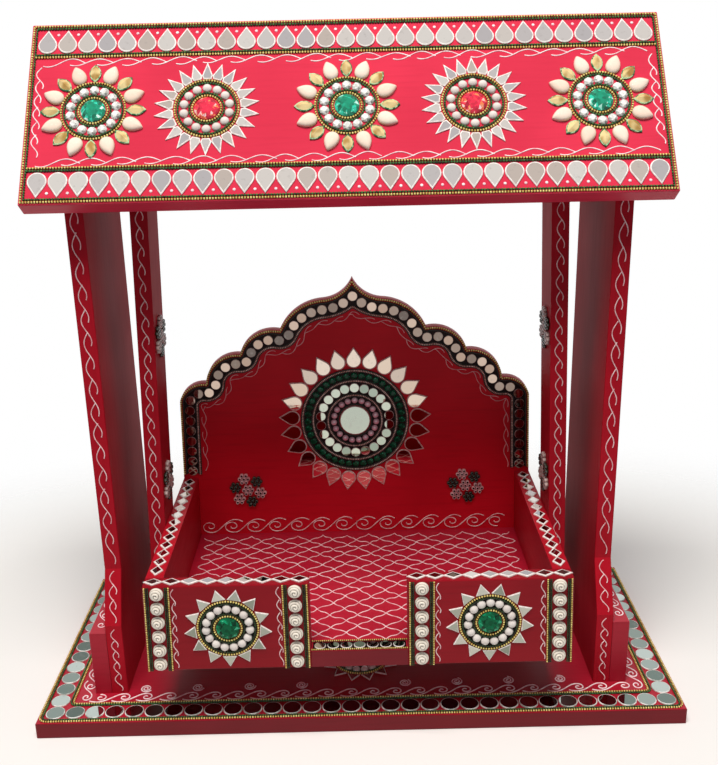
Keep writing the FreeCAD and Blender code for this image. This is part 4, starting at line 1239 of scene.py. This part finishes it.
copper_strand, copper_top = 1.2, 1.85
chain("backrest_brass_chain", "backrest_ball_chain", outer_lines, brass_ball)
chain("backrest_dark_chain", "backrest_ball_chain", dark_lines, bronze_ball)
chain("backrest_copper_chain", "backrest_ball_chain", thin_lines, copper_ball, copper_strand,
      copper_top)
ground("backrest_edge_ground", back,
       inside_line(2.4, lowest_chain) + inside_line(13.6, lowest_chain)[::-1])
ground("rosette_ground", back, ring_line(43.0, *rosette), ring_line(12.8, *rosette))
vine_path = evened(inside_line(18.6, rim_top + 4), 1.0)
inner_vine = []
vine_pitch, vine_stroke, vine_reach = 13, 21, 1.8
for first in range(0, len(vine_path) - vine_stroke - 1, vine_pitch):
    stroke = []
    for step in range(vine_stroke + 1):
        (x0, y0), (x1, y1) = vine_path[first + step], vine_path[first + step + 1]
        wave = vine_reach * sway(step / vine_stroke)
        length = hypot(x1 - x0, y1 - y0)
        stroke.append((x0 - (y1 - y0) / length * wave, y0 + (x1 - x0) / length * wave))
    inner_vine.append((back, stroke, False))
painted("backrest_vine", inner_vine, 0.6, rosy_white_paint)

# Backrest's rosette: a round mirror, rings of pink pearls, small mirrors and emerald stones
# between chains, and 25 drops of mirror round the outside.
pale_lining = Finish("pale_lining", "e8cfc8", 0.4)
pale_lining.mottled(500.0, "c99a94", "f0e2dc", 0.35, 0.7)
# Painted reflection: the rosette's drops are warm, and its core and ring pale grey-green.
warm_mirror = silvered("warm_silvered_glass", "dcc7b4", "d2bba8", "e2d0c0", "c9b7a8")
core_mirror = silvered("pale_silvered_glass", "c3c7b6", "cfd3c4", "b4bbae", "d6d6c8")
ring_mirror = silvered("ring_silvered_glass", "a3aea0", "b3bdae", "93a092", "c3c9b9")
rosette_glass = spots("backrest_rosette_mirrors", back)
core = min(rosette_glass, key=lambda p: hypot(p[1] - rosette[0], p[2] - rosette[1]))
ring_glass = [p for p in rosette_glass if p is not core]
core_glass = cut_glass("core_glass", circle(36, 12.2), 0.35, 0.6)
glued("rosette_core_glass", "backrest_rosette_mirrors", "mirror_glass", [core], core_glass,
      core_mirror, pale_lining)
glued("rosette_ring_glass", "backrest_rosette_mirrors", "mirror_glass", ring_glass, small_glass,
      ring_mirror, pale_lining, 0.8)
glued("rosette_drop_glass", "backrest_drop_mirrors", "mirror_glass", back, drop_glass, warm_mirror,
      pale_lining, 0.6, away_from(rosette))
glued("rosette_emeralds", "backrest_green_stones", "green_stone", back,
      gem("chip_gem", 2.75, 1.5, 5), deep_emerald)
pink_pearl = lustre("pink_pearl", "ffe6ec", "e2b0c0", 0.12)
glued("rosette_pink_pearls", "backrest_pearls", "pink_pearl", rosette_places,
      domed("pink_bead", 2.6, 12, 4, 0.92), pink_pearl)


# Bead flowers: seven clusters of seven ring beads, glued on light and dark by turns, on the
# backrest and on the inner faces of the arms.
def ring_bead(name, radius, height, count=10):
    """Small bead lying flat, with a hollow in its middle that is marked for painted shade."""
    profile = ((radius, 0.0), (radius * 0.95, 0.6 * height), (radius * 0.75, height),
               (radius * 0.5, 0.95 * height), (radius * 0.4, 0.4 * height))
    points = [Vector((r * x, r * y, z)) * mm for r, z in profile for x, y in circle(count, 1.0)]
    faces = bands(count, len(profile))
    mesh = plain_mesh(name, points, faces)
    inner_wall, bottom = (len(profile) - 2) * count, len(faces) - 2
    shaded_hollow = [index >= inner_wall and index != bottom for index in range(len(faces))]
    marked(mesh, "rim", "BOOLEAN", "FACE", shaded_hollow)
    mesh.polygons.foreach_set("use_smooth", [True] * (len(faces) - 2) + [False, False])
    return mesh


arm_paint = cone_paint("arm_cone_paint", "d3a0a4", "f0d6d6")
rosy_bead = lustre("rosy_seed_bead", "f6d6d6", "c27a80", 0.2)
dark_bead = lustre("dark_seed_bead", "140c0a", "3a4430", 0.15)
arm_bead = lustre("pale_seed_bead", "e6d6cf", "a88a84", 0.2)
seed_bead = ring_bead("seed_bead", 1.72, 2.4)


def bead_flowers(name, node, groups, light_finish):
    """Seven seed beads at each cluster, light or dark by its side of the flower's middle."""
    light, dark = [], []
    for side, flowers in groups:
        for _, x, y, angle in spots(node, side):
            away, direction = nearest_to(flowers, x, y)
            sector = round((direction - pi / 2) / (pi / 3)) % 2
            kind = light if away < 3 or sector == 0 else dark
            kind += [(side, x + a, y + b, 0.0) for a, b in [(0.0, 0.0), *circle(6, 3.42, angle)]]
    for kind, places, finish in (("_light_beads", light, light_finish),
                                 ("_dark_beads", dark, dark_bead)):
        # Painted shade: the beads' hollows take black lacquer.
        glued(name + kind, node, "bead_flower", places, seed_bead, finish, black_lacquer)


flower_x, flower_y = 89.69, 111.89
back_flowers = [(-flower_x, flower_y), (flower_x, flower_y)]
bead_flowers("backrest", "backrest_bead_flowers", [(back, back_flowers)], rosy_bead)
pivot_z, rake, arm_half = 385.0, 0.0199, 17.5
flower_drops = [z - pivot_z for z in (153.05, 263.93)]
arm_groups, arm_vines = [], []
for sign in (-1, 1):
    inner = Side((sign * outer_at(pivot_z), 0, pivot_z), (0, -sign, 0), (-sign * lean, 0, 1))
    arm_groups.append((inner, [(-sign * drop * rake, drop * hypot(1, lean))
                               for drop in flower_drops]))
    arm_middle, edge_out = outer_at(pivot_z) + board / 2, arm_half * hypot(1, rake)
    for face in (-1, 1):
        edge = Side((sign * arm_middle, face * edge_out, pivot_z),
                    (-face, 0, -face * sign * lean), (-sign * lean, rake, 1))
        arm_vines += vine(edge, (0, -296), (0, -4), 12.6, 2.5, 40 + sign + 3 * face, 1.55)
bead_flowers("arms", "arm_bead_flowers", arm_groups, arm_bead)
painted("arm_vines", arm_vines, 0.75, arm_paint)
